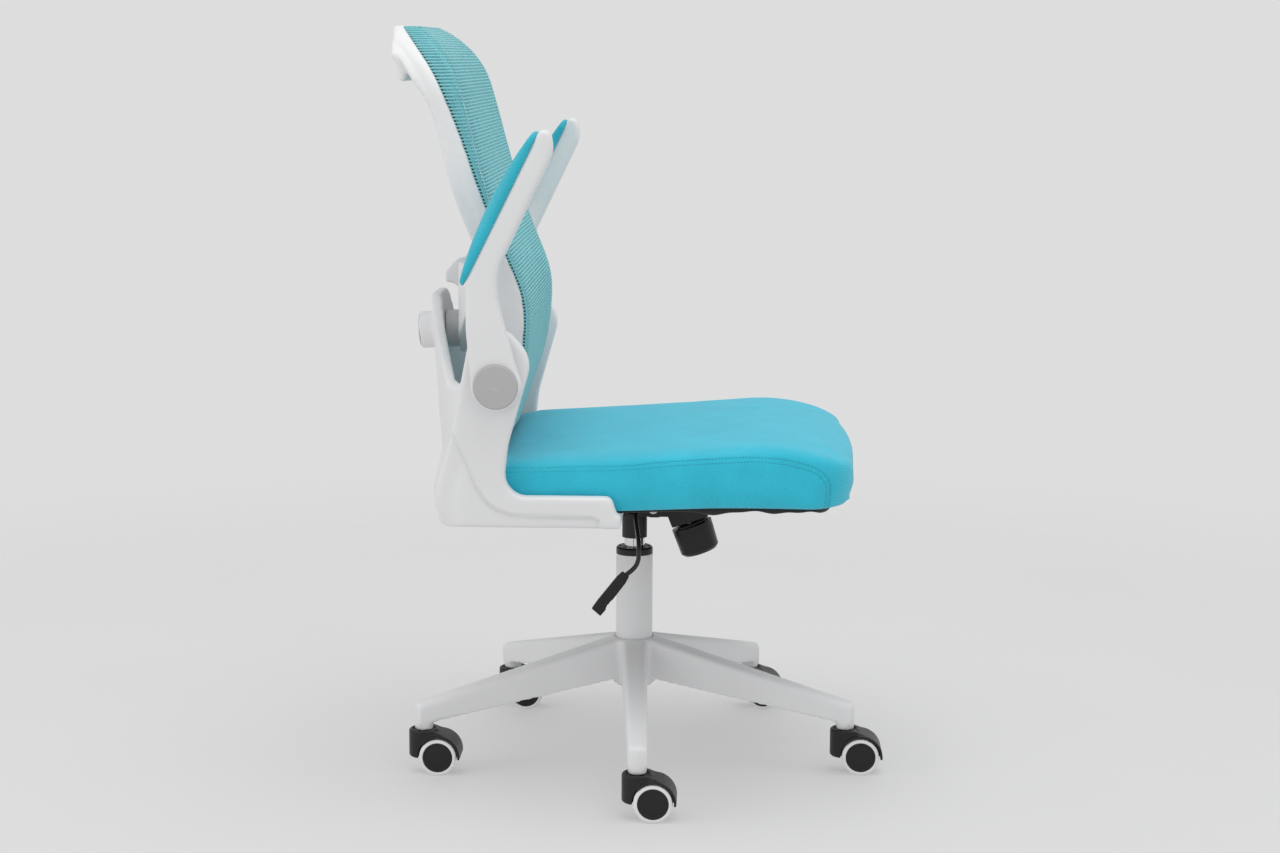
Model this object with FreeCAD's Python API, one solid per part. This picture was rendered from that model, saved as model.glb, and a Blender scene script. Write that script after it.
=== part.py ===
import FreeCAD, Part
import math
import os

# Mesh office chair in millimetres. The origin is on the floor under the gas lift.
# X is the front of the chair, Y is the sitter's left and Z is up.

V = FreeCAD.Vector
UP = V(0, 0, 1)
LEFT = V(0, 1, 0)
FRONT = V(1, 0, 0)

# Clearances
FIT = 0.05
RUN = 0.08
GAP = 0.3
SLOT = 1.0

# Casters
WHEEL_R = 25.0
WHEEL_W = 18.0
TYRE_T = 5.3
WEB_HALF = 5.5
TRAIL = 20.5
AXLE_R = 3.0
STEM_R = 5.5
STEM_LONG = 33.0
FENDER_WALL = 3.2
FENDER_GAP = 1.4
NECK_R = 20.0
HOOD_H = 35.0
HOOD_DROP = 3.0
RECESS_R = 16.0
RECESS_H = 3.0

# Base
ARMS = 5
BASE_R = 298.0
BASE_TURN = 3.0
ARM_OVERHANG = 10.0
BOSS_R = 12.5
END_HALF = 12.6
END_H = 29.0
ROOT_HALF = 17.5
ROOT_H = 56.0
ARM_BEVEL = 5.0
ARM_WALL = 3.5
BOSS_DROP = 7.5
HUB_RISE = 41.5
HUB_H = 66.0
HUB_R = 29.0
HUB_FLARE = 5.0
ROOT_LIFT = 10.0
RIBS = 4

# Gas lift
TUBE_R = 25.0
TUBE_WALL = 2.5
TUBE_TAPER = 1.0
TUBE_ABOVE = 115.0
TUBE_BELOW = 2.0
TUBE_FLOOR = 3.0
BUSH_H = 10.0
BUSH_DEEP = 50.0
CYL_R = 14.0
CYL_BORE = 11.5
CYL_TAPER = 1.0
ROD_R = 5.0
LIFT_DOWN = 10.0
LIFT_UP = 85.0
LIFT_SPARE = 3.0
PIN_R = 4.0
PIN_OUT = 6.0

# Tilt mechanism
SOCKET_WALL = 3.0
SOCKET_H = 42.0
CHANNEL_RISE = 36.0
CHANNEL_HALF = 45.0
SHEET = 3.0
TILT_X = 27.0
TILT_RISE = 12.0
TILT_R = 6.0
BOLT_R = 5.0
KNOB_X = 74.4
KNOB_DROP = 7.6
KNOB_ANGLE = 18.9
KNOB_GAP = 11.0
KNOB_H = 39.5
KNOB_R = 28.0
KNOB_DRAFT = 1.5
KNOB_WALL = 2.8
KNOB_FLUTES = 30
SPRING_R = 20.6
SPRING_WIRE = 3.0
SPRING_TURNS = 4.5
LEVER_R = 3.0
LEVER_PIN_R = 2.0
LUG_T = 4.0
LUG_OUT = 10.0
LEVER_REACH = 186.0
GRIP_W = 16.0
GRIP_T = 7.0

# Seat
SEAT_RISE = 43.0
SEAT_PITCH = 2.4
SEAT_HALF = 245.0
SEAT_FRONT = 297.0
SEAT_BACK = -182.0
SEAT_H = 83.0
SEAT_CORNER = 60.0
REAR_CORNER = 30.0
BOARD_T = 12.0
LINER_T = 1.0
BOARD_INSET = 14.0
PLATE_HALF = 78.0
SCREW_R = 3.0
YOKE_BOLT_X = (-40.0, -118.0)
YOKE_BOLT_IN = 40.0

# Yoke and arms
YOKE_GAP = 5.0
YOKE_WALL = 22.0
SHELL_T = 14.0
SKIRT_H = 80.0
SKIRT_KNEE = 38.0
SKIRT_LEAN = 0.256
SKIRT_BULGE = 0.5
FLOOR_DROP = 17.0
YOKE_REAR = -256.0
YOKE_LEAN = 0.062
UPRIGHT_HALF = 45.0
UPRIGHT_TOP = 257.0
PIVOT_X = -162.0
PIVOT_RISE = 166.0
PIVOT_R = 8.0
EYE_R = 31.0
CAP_R = 28.0
ARM_GAP = 0.5
ARM_W = 29.0
ARM_LEAN = 26.3
PAD_LONG = 208.0
PAD_T = 15.0
PAD_EDGE = 4.0
PAD_HALF = 25.0

# Back
BAND_T = 15.0
RAIL_W = 32.0
REAR_INSET = 3.0
HANDLE_HALF = 184.0
MESH_T = 2.0
BACK_BOSS_R = 25.0
BACK_BOSS_RISE = 205.0
BRIDGE_T = 14.0
LUMBAR_GAP = 12.0
LUMBAR_T = 12.0
LUMBAR_STEM = 8.7

# Heights that follow from the sizes above
HOOD_TOP = WHEEL_R + HOOD_H
BOSS_FOOT = HOOD_TOP - RECESS_H / 2
WHEEL_IN = WEB_HALF + SLOT
WHEEL_OUT = WHEEL_IN + WHEEL_W
CORE_R = WHEEL_R - TYRE_T
FENDER_R = WHEEL_R + FENDER_GAP + FENDER_WALL
END_FOOT = BOSS_FOOT + BOSS_DROP
HUB_FOOT = BOSS_FOOT + HUB_RISE
HUB_TOP = HUB_FOOT + HUB_H
TUBE_FOOT = HUB_FOOT - TUBE_BELOW
TUBE_TOP = HUB_TOP + TUBE_ABOVE
TUBE_IN = TUBE_R - TUBE_WALL
BUSH_TOP = TUBE_TOP + BUSH_H
SOCKET_Z = BUSH_TOP + LIFT_DOWN + LIFT_SPARE
SOCKET_TOP = SOCKET_Z + SOCKET_H
CYL_TOP = SOCKET_TOP + 2
CHANNEL_Z = SOCKET_Z + CHANNEL_RISE
TILT_Z = CHANNEL_Z + TILT_RISE
KNOB_Z = CHANNEL_Z - KNOB_DROP
SEAT_Z = CHANNEL_Z + SEAT_RISE
YOKE_IN = SEAT_HALF + YOKE_GAP
YOKE_OUT = YOKE_IN + YOKE_WALL
YOKE_Z = SEAT_Z - FLOOR_DROP
SHELL_Z = YOKE_Z + 8
PIVOT_Z = SEAT_Z + PIVOT_RISE
ARM_IN = YOKE_OUT + ARM_GAP
ARM_OUT = ARM_IN + ARM_W
BACK_BOSS_Z = SEAT_Z + BACK_BOSS_RISE

# Side curves of the back: height over the seat datum, mesh front X, rim depth, frame depth
BACK_CURVE = [
    (50, -172, 5, 36), (111, -152, 5, 36), (165, -135, 6, 36), (225, -127, 7, 36), (262, -128, 7, 36),
    (317, -147, 7, 36), (395, -176, 9, 36), (452, -192, 13, 31), (515, -208, 22, 27), (557, -223, 29, 34),
    (587, -246, 30, 22), (612, -288, 9, 5)]
# Half of the back's outline seen from the front: Y, height over the datum, corner radius
BACK_HALF = [
    (130, 609, 60), (212, 560, 90), (228, 420, 260), (212, 280, 260), (206, 170, 120), (170, 62, 50)]


# Small helpers for shapes
def box(x0, x1, y0, y1, z0, z1):
    return Part.makeBox(x1 - x0, y1 - y0, z1 - z0, V(x0, y0, z0))


def bar(start, end, radius):
    return Part.makeCylinder(radius, (end - start).Length, start, end - start)


def turned(profile, base=V(0, 0, 0), axis=UP, out=FRONT):
    points = [base + out * r + axis * h for r, h in profile]
    face = Part.Face(Part.makePolygon(points + [points[0]]))
    return face.revolve(base, axis, 360)


def corner(before, here, after):
    point = V(here[0], here[1], 0)
    if here[2] == 0:
        return point, point, point
    back = V(before[0], before[1], 0) - point
    ahead = V(after[0], after[1], 0) - point
    back.normalize()
    ahead.normalize()
    half = back.getAngle(ahead) / 2
    middle = back + ahead
    middle.normalize()
    reach = here[2] / math.tan(half)
    deep = here[2] / math.sin(half) - here[2]
    return point + back * reach, point + middle * deep, point + ahead * reach


def rounded(points, place):
    corners = []
    for i, here in enumerate(points):
        corners.append(corner(points[i - 1], here, points[(i + 1) % len(points)]))
    edges = []
    for i, (start, middle, end) in enumerate(corners):
        if (end - start).Length > 0.001:
            arc = Part.Arc(place(start.x, start.y), place(middle.x, middle.y), place(end.x, end.y))
            edges.append(arc.toShape())
        following = corners[(i + 1) % len(corners)][0]
        if (following - end).Length > 0.001:
            edges.append(Part.makeLine(place(end.x, end.y), place(following.x, following.y)))
    return Part.Wire(edges)


def side_face(points, y):
    return Part.Face(rounded(points, lambda u, v: V(u, y, v)))


def side_prism(points, y0, y1):
    return side_face(points, y0).extrude(LEFT * (y1 - y0))


def plan_prism(points, z0, z1, lean=0):
    face = Part.Face(rounded(points, lambda u, v: V(u, v, z0)))
    return face.extrude(V(-lean * (z1 - z0), 0, z1 - z0))


def front_face(points, x):
    return Part.Face(rounded(points, lambda u, v: V(x, u, v)))


def front_prism(points, x0, x1):
    return front_face(points, x0).extrude(FRONT * (x1 - x0))


def both_sides(points):
    return points + [(-y, z, r) for y, z, r in reversed(points)]


def mirrored(shape):
    return shape.mirror(V(0, 0, 0), LEFT)


def fused(shapes):
    return shapes[0].fuse(shapes[1:]).removeSplitter()


def seat_placed(shape):
    shape.Placement = FreeCAD.Placement(V(0, 0, SEAT_Z), FreeCAD.Rotation(LEFT, -SEAT_PITCH)) * shape.Placement
    return shape


def save(name, shape):
    shape.exportStep("parts/" + name + ".step")


# Casters, each built with its stem on the Z axis
def wheel_turned(profile):
    return turned(profile, V(TRAIL, 0, WHEEL_R), LEFT, FRONT)


def wheel_pair(profile):
    one = wheel_turned(profile)
    return Part.makeCompound([one, mirrored(one)])


def caster_tyres():
    inner = CORE_R + FIT
    bevel = 3.0
    profile = [
        (inner, WHEEL_IN), (WHEEL_R - bevel, WHEEL_IN), (WHEEL_R, WHEEL_IN + bevel),
        (WHEEL_R, WHEEL_OUT - bevel), (WHEEL_R - bevel, WHEEL_OUT), (inner, WHEEL_OUT)]
    return wheel_pair(profile)


def caster_wheels():
    bore = AXLE_R + FIT
    end = WHEEL_OUT - 4
    profile = [
        (bore, WHEEL_IN), (CORE_R, WHEEL_IN), (CORE_R, WHEEL_OUT - 1), (CORE_R - 2, WHEEL_OUT),
        (0, WHEEL_OUT), (0, end), (bore, end)]
    return wheel_pair(profile)


def caster_axle():
    half = WHEEL_OUT - 4 - SLOT
    return bar(V(TRAIL, -half, WHEEL_R), V(TRAIL, half, WHEEL_R), AXLE_R)


def caster_hood():
    foot = WHEEL_R - HOOD_DROP
    bevel = 2.0
    neck = turned([(0, foot), (NECK_R - bevel, foot), (NECK_R, foot + bevel), (NECK_R, HOOD_TOP - bevel),
                   (NECK_R - bevel, HOOD_TOP), (0, HOOD_TOP)])
    fender = bar(V(TRAIL, -WHEEL_OUT, WHEEL_R), V(TRAIL, WHEEL_OUT, WHEEL_R), FENDER_R)
    fender = fender.common(box(0, TRAIL + FENDER_R, -WHEEL_OUT, WHEEL_OUT, foot, HOOD_TOP))
    deck_x = NECK_R - 8
    away = math.hypot(deck_x - TRAIL, HOOD_H)
    turn = math.atan2(HOOD_H, deck_x - TRAIL) - math.acos(FENDER_R / away)
    touch = (TRAIL + FENDER_R * math.cos(turn), WHEEL_R + FENDER_R * math.sin(turn), 0)
    deck = [(0, WHEEL_R, 0), (0, HOOD_TOP, 0), (deck_x, HOOD_TOP, 3), touch, (TRAIL, WHEEL_R, 0)]
    deck = side_prism(deck, -NECK_R, NECK_R)
    web = bar(V(TRAIL, -WEB_HALF, WHEEL_R), V(TRAIL, WEB_HALF, WHEEL_R), AXLE_R + 8)
    hood = fused([neck, fender, deck])
    pocket = bar(V(TRAIL, WEB_HALF, WHEEL_R), V(TRAIL, 2 * WHEEL_OUT, WHEEL_R), WHEEL_R + FENDER_GAP)
    hood = hood.cut([pocket, mirrored(pocket)]).fuse(web)
    recess = bar(V(0, 0, HOOD_TOP - RECESS_H), V(0, 0, HOOD_TOP + 1), RECESS_R)
    axle = bar(V(TRAIL, -WHEEL_OUT, WHEEL_R), V(TRAIL, WHEEL_OUT, WHEEL_R), AXLE_R + RUN)
    stem = bar(V(0, 0, stem_foot() - GAP), V(0, 0, HOOD_TOP), STEM_R + RUN)
    return hood.cut([recess, axle, stem]).removeSplitter()


def stem_foot():
    return HOOD_TOP - RECESS_H - 8.5


def caster_stem():
    top = stem_foot() + STEM_LONG
    return turned([(0, stem_foot()), (STEM_R, stem_foot()), (STEM_R, top - 2), (STEM_R - 2, top), (0, top)])


def caster_places():
    places = []
    for k in range(ARMS):
        angle = math.radians(BASE_TURN - 90 + 360 * k / ARMS)
        places.append(V(BASE_R * math.cos(angle), BASE_R * math.sin(angle), 0))
    return places


# Base
def arm_section(r, half, foot, top, bevel):
    points = [
        V(r, -half, foot), V(r, -half, top - bevel), V(r, bevel - half, top), V(r, half - bevel, top),
        V(r, half, top - bevel), V(r, half, foot), V(r, -half, foot)]
    return Part.makePolygon(points)


def arm_at(r):
    part = (r - TUBE_R) / (BASE_R + ARM_OVERHANG - TUBE_R)
    half = ROOT_HALF + (END_HALF - ROOT_HALF) * part
    foot = HUB_FOOT + ROOT_LIFT + (END_FOOT - HUB_FOOT - ROOT_LIFT) * part
    top = foot + ROOT_H + (END_H - ROOT_H) * part
    return half, foot, top


def arm_loft(r0, r1, wall, drop):
    wires = []
    for r in (r0, r1):
        half, foot, top = arm_at(r)
        wires.append(arm_section(r, half - wall, foot - drop, top - wall, ARM_BEVEL - wall / 2))
    return Part.makeLoft(wires, True, True)


def base_arm():
    outer = arm_loft(TUBE_R, BASE_R + ARM_OVERHANG, 0, 0)
    start = HUB_R + HUB_FLARE + ARM_WALL
    end = BASE_R - BOSS_R - 2
    hollow = arm_loft(start, end, ARM_WALL, 1)
    arm = outer.cut(hollow)
    boss = bar(V(BASE_R, 0, BOSS_FOOT), V(BASE_R, 0, arm_at(BASE_R)[2] - ARM_WALL), BOSS_R)
    ribs = []
    for i in range(RIBS):
        r = start + (end - start) * (i + 1) / (RIBS + 1)
        half, foot, top = arm_at(r)
        ribs.append(box(r - 1.2, r + 1.2, 1 - half, half - 1, foot + 2, top - ARM_WALL / 2))
    arm = fused([arm, boss] + ribs)
    stem_top = stem_foot() + STEM_LONG
    return arm.cut(bar(V(BASE_R, 0, BOSS_FOOT - 1), V(BASE_R, 0, stem_top + GAP), STEM_R + FIT))


def star_base():
    flare = HUB_R + HUB_FLARE
    top = arm_at(TUBE_R)[2]
    shapes = [turned([(0, HUB_FOOT), (HUB_R, HUB_FOOT), (flare, HUB_FOOT + HUB_H / 2), (flare, top - 4),
                      (flare - 4, HUB_TOP), (0, HUB_TOP)])]
    arm = base_arm()
    for k in range(ARMS):
        one = arm.copy()
        one.rotate(V(0, 0, 0), UP, BASE_TURN - 90 + 360 * k / ARMS)
        shapes.append(one)
    low = TUBE_R - TUBE_TAPER + FIT
    bore = [(0, HUB_FOOT - 1), (low, HUB_FOOT - 1), (low, HUB_FOOT), (TUBE_R + FIT, HUB_TOP),
            (TUBE_R + FIT, HUB_TOP + 9), (0, HUB_TOP + 9)]
    return fused(shapes).cut(turned(bore))


# Gas lift
def gas_outer_tube():
    low = TUBE_R - TUBE_TAPER
    floor = TUBE_FOOT + TUBE_FLOOR
    hole = ROD_R + SLOT
    return turned([(hole, TUBE_FOOT), (low, TUBE_FOOT), (low, HUB_FOOT), (TUBE_R, HUB_TOP), (TUBE_R, TUBE_TOP),
                   (TUBE_IN, TUBE_TOP), (TUBE_IN, floor), (hole, floor)])


def gas_top_bush():
    bore = CYL_R + RUN
    skirt = TUBE_IN - FIT
    bush = turned([(bore, TUBE_TOP - BUSH_DEEP), (skirt, TUBE_TOP - BUSH_DEEP), (skirt, TUBE_TOP), (TUBE_R, TUBE_TOP),
                   (TUBE_R, BUSH_TOP - 2), (TUBE_R - 2, BUSH_TOP), (bore, BUSH_TOP)])
    notches = []
    for k in range(8):
        notch = box(CYL_R + 4, TUBE_R - 4, -2.5, 2.5, BUSH_TOP - 4, BUSH_TOP + 1)
        notch.rotate(V(0, 0, 0), UP, 45 * k)
        notches.append(notch)
    return bush.cut(notches)


def ring(inner, outer, z0, z1):
    return turned([(inner, z0), (outer, z0), (outer, z1), (inner, z1)])


BEARING_H = 10.0


def gas_thrust_bearing():
    floor = TUBE_FOOT + TUBE_FLOOR
    inner = ROD_R + SLOT
    outer = TUBE_IN - SLOT
    washer = 2.0
    low = ring(inner, outer, floor, floor + washer)
    cage = ring(inner + 1, outer - 1, floor + washer, floor + BEARING_H - washer)
    high = ring(inner, outer, floor + BEARING_H - washer, floor + BEARING_H)
    return Part.makeCompound([low, cage, high])


def cylinder_foot():
    return TUBE_FOOT + TUBE_FLOOR + BEARING_H + LIFT_DOWN + LIFT_SPARE + 4


def gas_piston_rod():
    shoulder = TUBE_FOOT + TUBE_FLOOR + BEARING_H + FIT
    end = TUBE_FOOT - 6
    head = cylinder_foot() + 10 + LIFT_UP + 8
    inside = CYL_BORE - RUN
    return turned([(0, end), (ROD_R, end), (ROD_R, shoulder), (ROD_R + 4, shoulder), (ROD_R + 4, shoulder + 3),
                   (ROD_R, shoulder + 3), (ROD_R, head), (inside, head), (inside, head + 12), (0, head + 12)])


def gas_rod_clip():
    return ring(ROD_R + FIT, ROD_R + 4.5, TUBE_FOOT - 3.5, TUBE_FOOT - GAP)


def cone_r(z):
    return CYL_R - CYL_TAPER * (z - SOCKET_Z) / (CYL_TOP - SOCKET_Z)


def gas_pressure_tube():
    foot = cylinder_foot()
    bore = ROD_R + RUN
    pin = PIN_R + RUN
    roof = SOCKET_Z + 26
    return turned([(bore, foot), (CYL_R, foot), (CYL_R, SOCKET_Z), (cone_r(CYL_TOP), CYL_TOP), (pin, CYL_TOP),
                   (pin, roof), (CYL_BORE, roof), (CYL_BORE, foot + 10), (bore, foot + 10)])


def gas_release_pin():
    roof = SOCKET_Z + 26
    return bar(V(0, 0, roof - 8), V(0, 0, CYL_TOP + PIN_OUT), PIN_R)


# Tilt mechanism: the tension screw's line runs down and forward from its seat under the bracket
KNOB_SEAT = V(KNOB_X, 0, KNOB_Z)
KNOB_DOWN = V(math.sin(math.radians(KNOB_ANGLE)), 0, -math.cos(math.radians(KNOB_ANGLE)))


def lip_z(x):
    return KNOB_Z + (x - KNOB_X) * math.tan(math.radians(KNOB_ANGLE))


def tilt_bracket():
    nose = KNOB_X + 26
    chin = KNOB_X - 22
    wall = [(-42, CHANNEL_Z, 2), (chin - 6, CHANNEL_Z, 0), (chin, lip_z(chin), 2), (nose, lip_z(nose), 2),
            (nose, TILT_Z + 10, 6), (TILT_X + 14, TILT_Z + 13, 8), (TILT_X - 14, TILT_Z + 13, 10),
            (-42, CHANNEL_Z + 12, 6)]
    rise = SHEET / math.cos(math.radians(KNOB_ANGLE))
    inside = [(-42 + SHEET, CHANNEL_Z + SHEET, 0), (chin - 4, CHANNEL_Z + SHEET, 0),
              (chin + 2, lip_z(chin + 2) + rise, 0), (nose - SHEET, lip_z(nose - SHEET) + rise, 0),
              (nose - SHEET, SEAT_Z + 50, 0), (-42 + SHEET, SEAT_Z + 50, 0)]
    channel = side_prism(wall, -CHANNEL_HALF, CHANNEL_HALF)
    channel = channel.cut(side_prism(inside, SHEET - CHANNEL_HALF, CHANNEL_HALF - SHEET))
    socket = turned([(0, SOCKET_Z), (CYL_R + SOCKET_WALL, SOCKET_Z), (CYL_R + SOCKET_WALL, SOCKET_TOP),
                     (0, SOCKET_TOP)])
    bore = turned([(0, SOCKET_Z - 1), (CYL_R + FIT, SOCKET_Z - 1), (CYL_R + FIT, SOCKET_Z),
                   (cone_r(SOCKET_TOP) + FIT, SOCKET_TOP), (cone_r(SOCKET_TOP) + FIT, SOCKET_TOP + 1),
                   (0, SOCKET_TOP + 1)])
    axle = bar(V(TILT_X, -CHANNEL_HALF - 1, TILT_Z), V(TILT_X, CHANNEL_HALF + 1, TILT_Z), TILT_R + FIT)
    lip_hole = bar(KNOB_SEAT - KNOB_DOWN * 30, KNOB_SEAT + KNOB_DOWN * 10, BOLT_R + GAP)
    window = box(-6, 6, -CHANNEL_HALF - 1, SHEET - CHANNEL_HALF + 1, CHANNEL_Z + SHEET, SEAT_Z)
    place = lever_points()[1]
    inner = SHEET - CHANNEL_HALF
    lug = box(2 * LEVER_R, 2 * LEVER_R + LUG_T, inner - SHEET / 2, inner + LUG_OUT, place.z - LUG_OUT / 2,
              place.z + LUG_OUT / 2)
    lugs = [lug, lug.mirror(V(0, 0, 0), FRONT)]
    pin = bar(place - FRONT * 20, place + FRONT * 20, LEVER_PIN_R + RUN)
    return fused([channel, socket] + lugs).cut([bore, axle, lip_hole, window, pin])


def tilt_axle():
    half = CHANNEL_HALF + 12
    return bar(V(TILT_X, -half, TILT_Z), V(TILT_X, half, TILT_Z), TILT_R)


LEVER_Z = CYL_TOP + PIN_OUT + GAP + LEVER_R
LEVER_PIVOT = CHANNEL_HALF - SHEET - LUG_OUT / 2


def lever_points():
    return [V(0, PIN_R + 2, LEVER_Z), V(0, -LEVER_PIVOT, LEVER_Z - 1), V(12, 8 - LEVER_REACH, LEVER_Z - 27),
            V(12, -LEVER_REACH, LEVER_Z - 54), V(-8, -LEVER_REACH - 4, LEVER_Z - 70)]


def bent_bar(points, radius):
    shapes = []
    for start, end in zip(points, points[1:]):
        shapes.append(bar(start, end, radius))
    for point in points[1:-1]:
        shapes.append(Part.makeSphere(radius, point))
    return fused(shapes)


def lever_rod():
    place = lever_points()[1]
    reach = FRONT * (2 * LEVER_R + LUG_T)
    return fused([bent_bar(lever_points(), LEVER_R), bar(place - reach, place + reach, LEVER_PIN_R)])


def lever_grip():
    points = lever_points()
    top = points[-1]
    line = V(-38, 0, -50)
    line.normalize()
    half = GRIP_W / 2
    face = rounded([(-6, -half, 5), (-6, half, 5), (58, half, 7), (58, -half, 7)], lambda u, v: V(u, 0, v))
    grip = Part.Face(face).extrude(LEFT * GRIP_T)
    grip.translate(V(0, -GRIP_T / 2, 0))
    turn = FreeCAD.Rotation(FRONT, line)
    grip.Placement = FreeCAD.Placement(top, turn)
    return grip.cut(bar(points[-2], top, LEVER_R + FIT)).cut(Part.makeSphere(LEVER_R + FIT, top))


def plate_line(x):
    return SEAT_Z - LINER_T + x * math.tan(math.radians(SEAT_PITCH))


def cross_head():
    slope = math.tan(math.radians(SEAT_PITCH))
    seat = plate_line(KNOB_X) + (BOLT_R + GAP) / math.cos(math.radians(SEAT_PITCH))
    away = (seat - KNOB_Z) / (-KNOB_DOWN.z + KNOB_DOWN.x * slope)
    return KNOB_SEAT - KNOB_DOWN * away


def tension_bolt():
    top = cross_head()
    end = KNOB_SEAT + KNOB_DOWN * (KNOB_GAP + KNOB_H - 4)
    head = bar(top - LEFT * 15, top + LEFT * 15, BOLT_R)
    return fused([head, bar(top, end, BOLT_R)])


def on_screw(shape):
    shape.Placement = FreeCAD.Placement(KNOB_SEAT, FreeCAD.Rotation(UP, KNOB_DOWN * -1))
    return shape


def tension_knob():
    rim = -KNOB_GAP
    end = rim - KNOB_H
    cup = end + KNOB_WALL + 4
    low = KNOB_R - KNOB_DRAFT
    inner = KNOB_R - KNOB_DRAFT - KNOB_WALL
    bore = BOLT_R + RUN
    knob = turned([(0, end), (low - 4, end), (low, end + 4), (KNOB_R, rim), (inner, rim), (inner, cup), (bore, cup),
                   (bore, end + 3), (0, end + 3)])
    flutes = []
    for k in range(KNOB_FLUTES):
        angle = 2 * math.pi * k / KNOB_FLUTES
        side = V(math.cos(angle), math.sin(angle), 0) * (KNOB_R + 0.9)
        flutes.append(bar(side + UP * (end - 1), side + UP * (rim - 5), 1.6))
    return on_screw(knob.cut(flutes))


def spring_point(turns, foot, rise):
    angle = 2 * math.pi * turns
    return V(SPRING_R * math.cos(angle), SPRING_R * math.sin(angle), foot + rise * turns)


def spring_heading(turns, rise):
    angle = 2 * math.pi * turns
    heading = V(-math.sin(angle), math.cos(angle), rise / (2 * math.pi * SPRING_R))
    heading.normalize()
    return heading


def arc_edge(start, tip, end):
    chord = (start + end) * 0.5
    high = (tip - chord).Length
    half = (start - end).Length / 2
    bulge = half * math.tan(math.atan2(high, half) / 2)
    middle = chord + (tip - chord) * (bulge / high)
    return Part.Arc(start, middle, end).toShape()


def biarc(start, leave, end, arrive):
    span = end - start
    both = leave + arrive
    spread = 2 * (1 - leave.dot(arrive))
    along = span.dot(both)
    reach = (math.sqrt(along * along + spread * span.dot(span)) - along) / spread
    first = start + leave * reach
    second = end - arrive * reach
    joint = (first + second) * 0.5
    return [arc_edge(start, first, joint), arc_edge(joint, second, end)]


def tension_spring():
    foot = -KNOB_GAP - KNOB_H + KNOB_WALL + 4 + SPRING_WIRE + GAP
    rise = (-SPRING_WIRE - GAP - foot) / SPRING_TURNS
    edges = []
    quarters = int(SPRING_TURNS * 4)
    for i in range(quarters):
        a = i / 4
        b = (i + 1) / 4
        edges += biarc(spring_point(a, foot, rise), spring_heading(a, rise),
                       spring_point(b, foot, rise), spring_heading(b, rise))
    start = spring_point(0, foot, rise)
    end = Part.Wire([Part.makeCircle(SPRING_WIRE, start, spring_heading(0, rise))])
    least = min((spring_point(i / 48, foot, rise) - spring_point(j / 48, foot, rise)).Length
                for i in range(quarters * 12) for j in range(i + 30, quarters * 12))
    print("tension_spring least gap", round(least - 2 * SPRING_WIRE, 2))
    return on_screw(Part.Wire(edges).makePipeShell([end], True, False))


# Seat
def seat_outline(inset, z):
    front = SEAT_FRONT - inset
    back = SEAT_BACK + inset
    half = SEAT_HALF - inset
    wide = max(SEAT_CORNER - inset, 12)
    narrow = max(REAR_CORNER - inset, 12)
    points = [(back, -half, narrow), (front, -half, wide), (front, half, wide), (back, half, narrow)]
    return rounded(points, lambda u, v: V(u, v, z))


def seat_slab(inset, z0, z1):
    return Part.Face(seat_outline(inset, z0)).extrude(UP * (z1 - z0))


def seat_cushion():
    top = SEAT_H
    half = SEAT_HALF
    front = SEAT_FRONT
    back = SEAT_BACK
    length = [(front - 6, 0, 0), (front + 1, 24, 28), (front - 9, top - 28, 30), (front - 45, top - 12, 60),
              (front - 115, top, 120), (back + 170, top - 5, 200), (back + 8, top - 17, 14), (back, 30, 50),
              (back + 5, 0, 0)]
    across = both_sides([(half - 5, 0, 0), (half + 1, 30, 70), (half - 3, top - 16, 14), (half - 110, top, 400)])
    body = seat_slab(0, 0, top + 1).common(side_prism(length, -half - 1, half + 1))
    body = body.common(front_prism(across, back - 1, front + 1))
    pocket = seat_slab(BOARD_INSET - GAP, -1, BOARD_T + GAP)
    return seat_placed(body.cut(pocket))


def head_pocket(z0, z1):
    place = cross_head()
    return box(place.x - 14, place.x + 17, -19, 19, z0, z1)


PLATE_HOLES = [(-98, 62), (-98, -62), (122, 62), (122, -62)]
YOKE_HOLES = [(x, y) for x in YOKE_BOLT_X for y in (SEAT_HALF - YOKE_BOLT_IN, YOKE_BOLT_IN - SEAT_HALF)]


def drills(places, radius):
    return [bar(V(x, y, -40), V(x, y, BOARD_T - 2), radius) for x, y in places]


def seat_board():
    board = seat_slab(BOARD_INSET, 0, BOARD_T)
    return seat_placed(board.cut([head_pocket(-1, BOARD_T + 1)] + drills(PLATE_HOLES + YOKE_HOLES, SCREW_R + FIT)))


def seat_liner():
    liner = seat_slab(BOARD_INSET - 4, -LINER_T, 0)
    cuts = [head_pocket(-LINER_T - 1, 1)] + drills(PLATE_HOLES + YOKE_HOLES, SCREW_R + GAP)
    return seat_placed(liner.cut(cuts))


def seat_plate():
    low = -LINER_T - SHEET
    plate = plan_prism([(-116, -PLATE_HALF, 12), (140, -PLATE_HALF, 12), (140, PLATE_HALF, 12),
                        (-116, PLATE_HALF, 12)], low, -LINER_T)
    slot = cross_head().x
    shank = box(slot - 11, slot + 13, -BOLT_R - SLOT, BOLT_R + SLOT, low - 1, 1)
    plate = seat_placed(plate.cut([shank] + drills(PLATE_HOLES, SCREW_R + GAP)))
    inner = CHANNEL_HALF + SLOT + 1
    top = SEAT_Z - LINER_T - SHEET / 2
    ear = [(TILT_X - 16, top, 0), (TILT_X - 12, TILT_Z - 12, 10), (TILT_X + 12, TILT_Z - 12, 10), (TILT_X + 30, top, 0)]
    ears = [side_prism(ear, inner, inner + SHEET), side_prism(ear, -inner - SHEET, -inner)]
    axle = bar(V(TILT_X, -PLATE_HALF, TILT_Z), V(TILT_X, PLATE_HALF, TILT_Z), TILT_R + RUN)
    return fused([plate] + ears).cut(axle)


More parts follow.
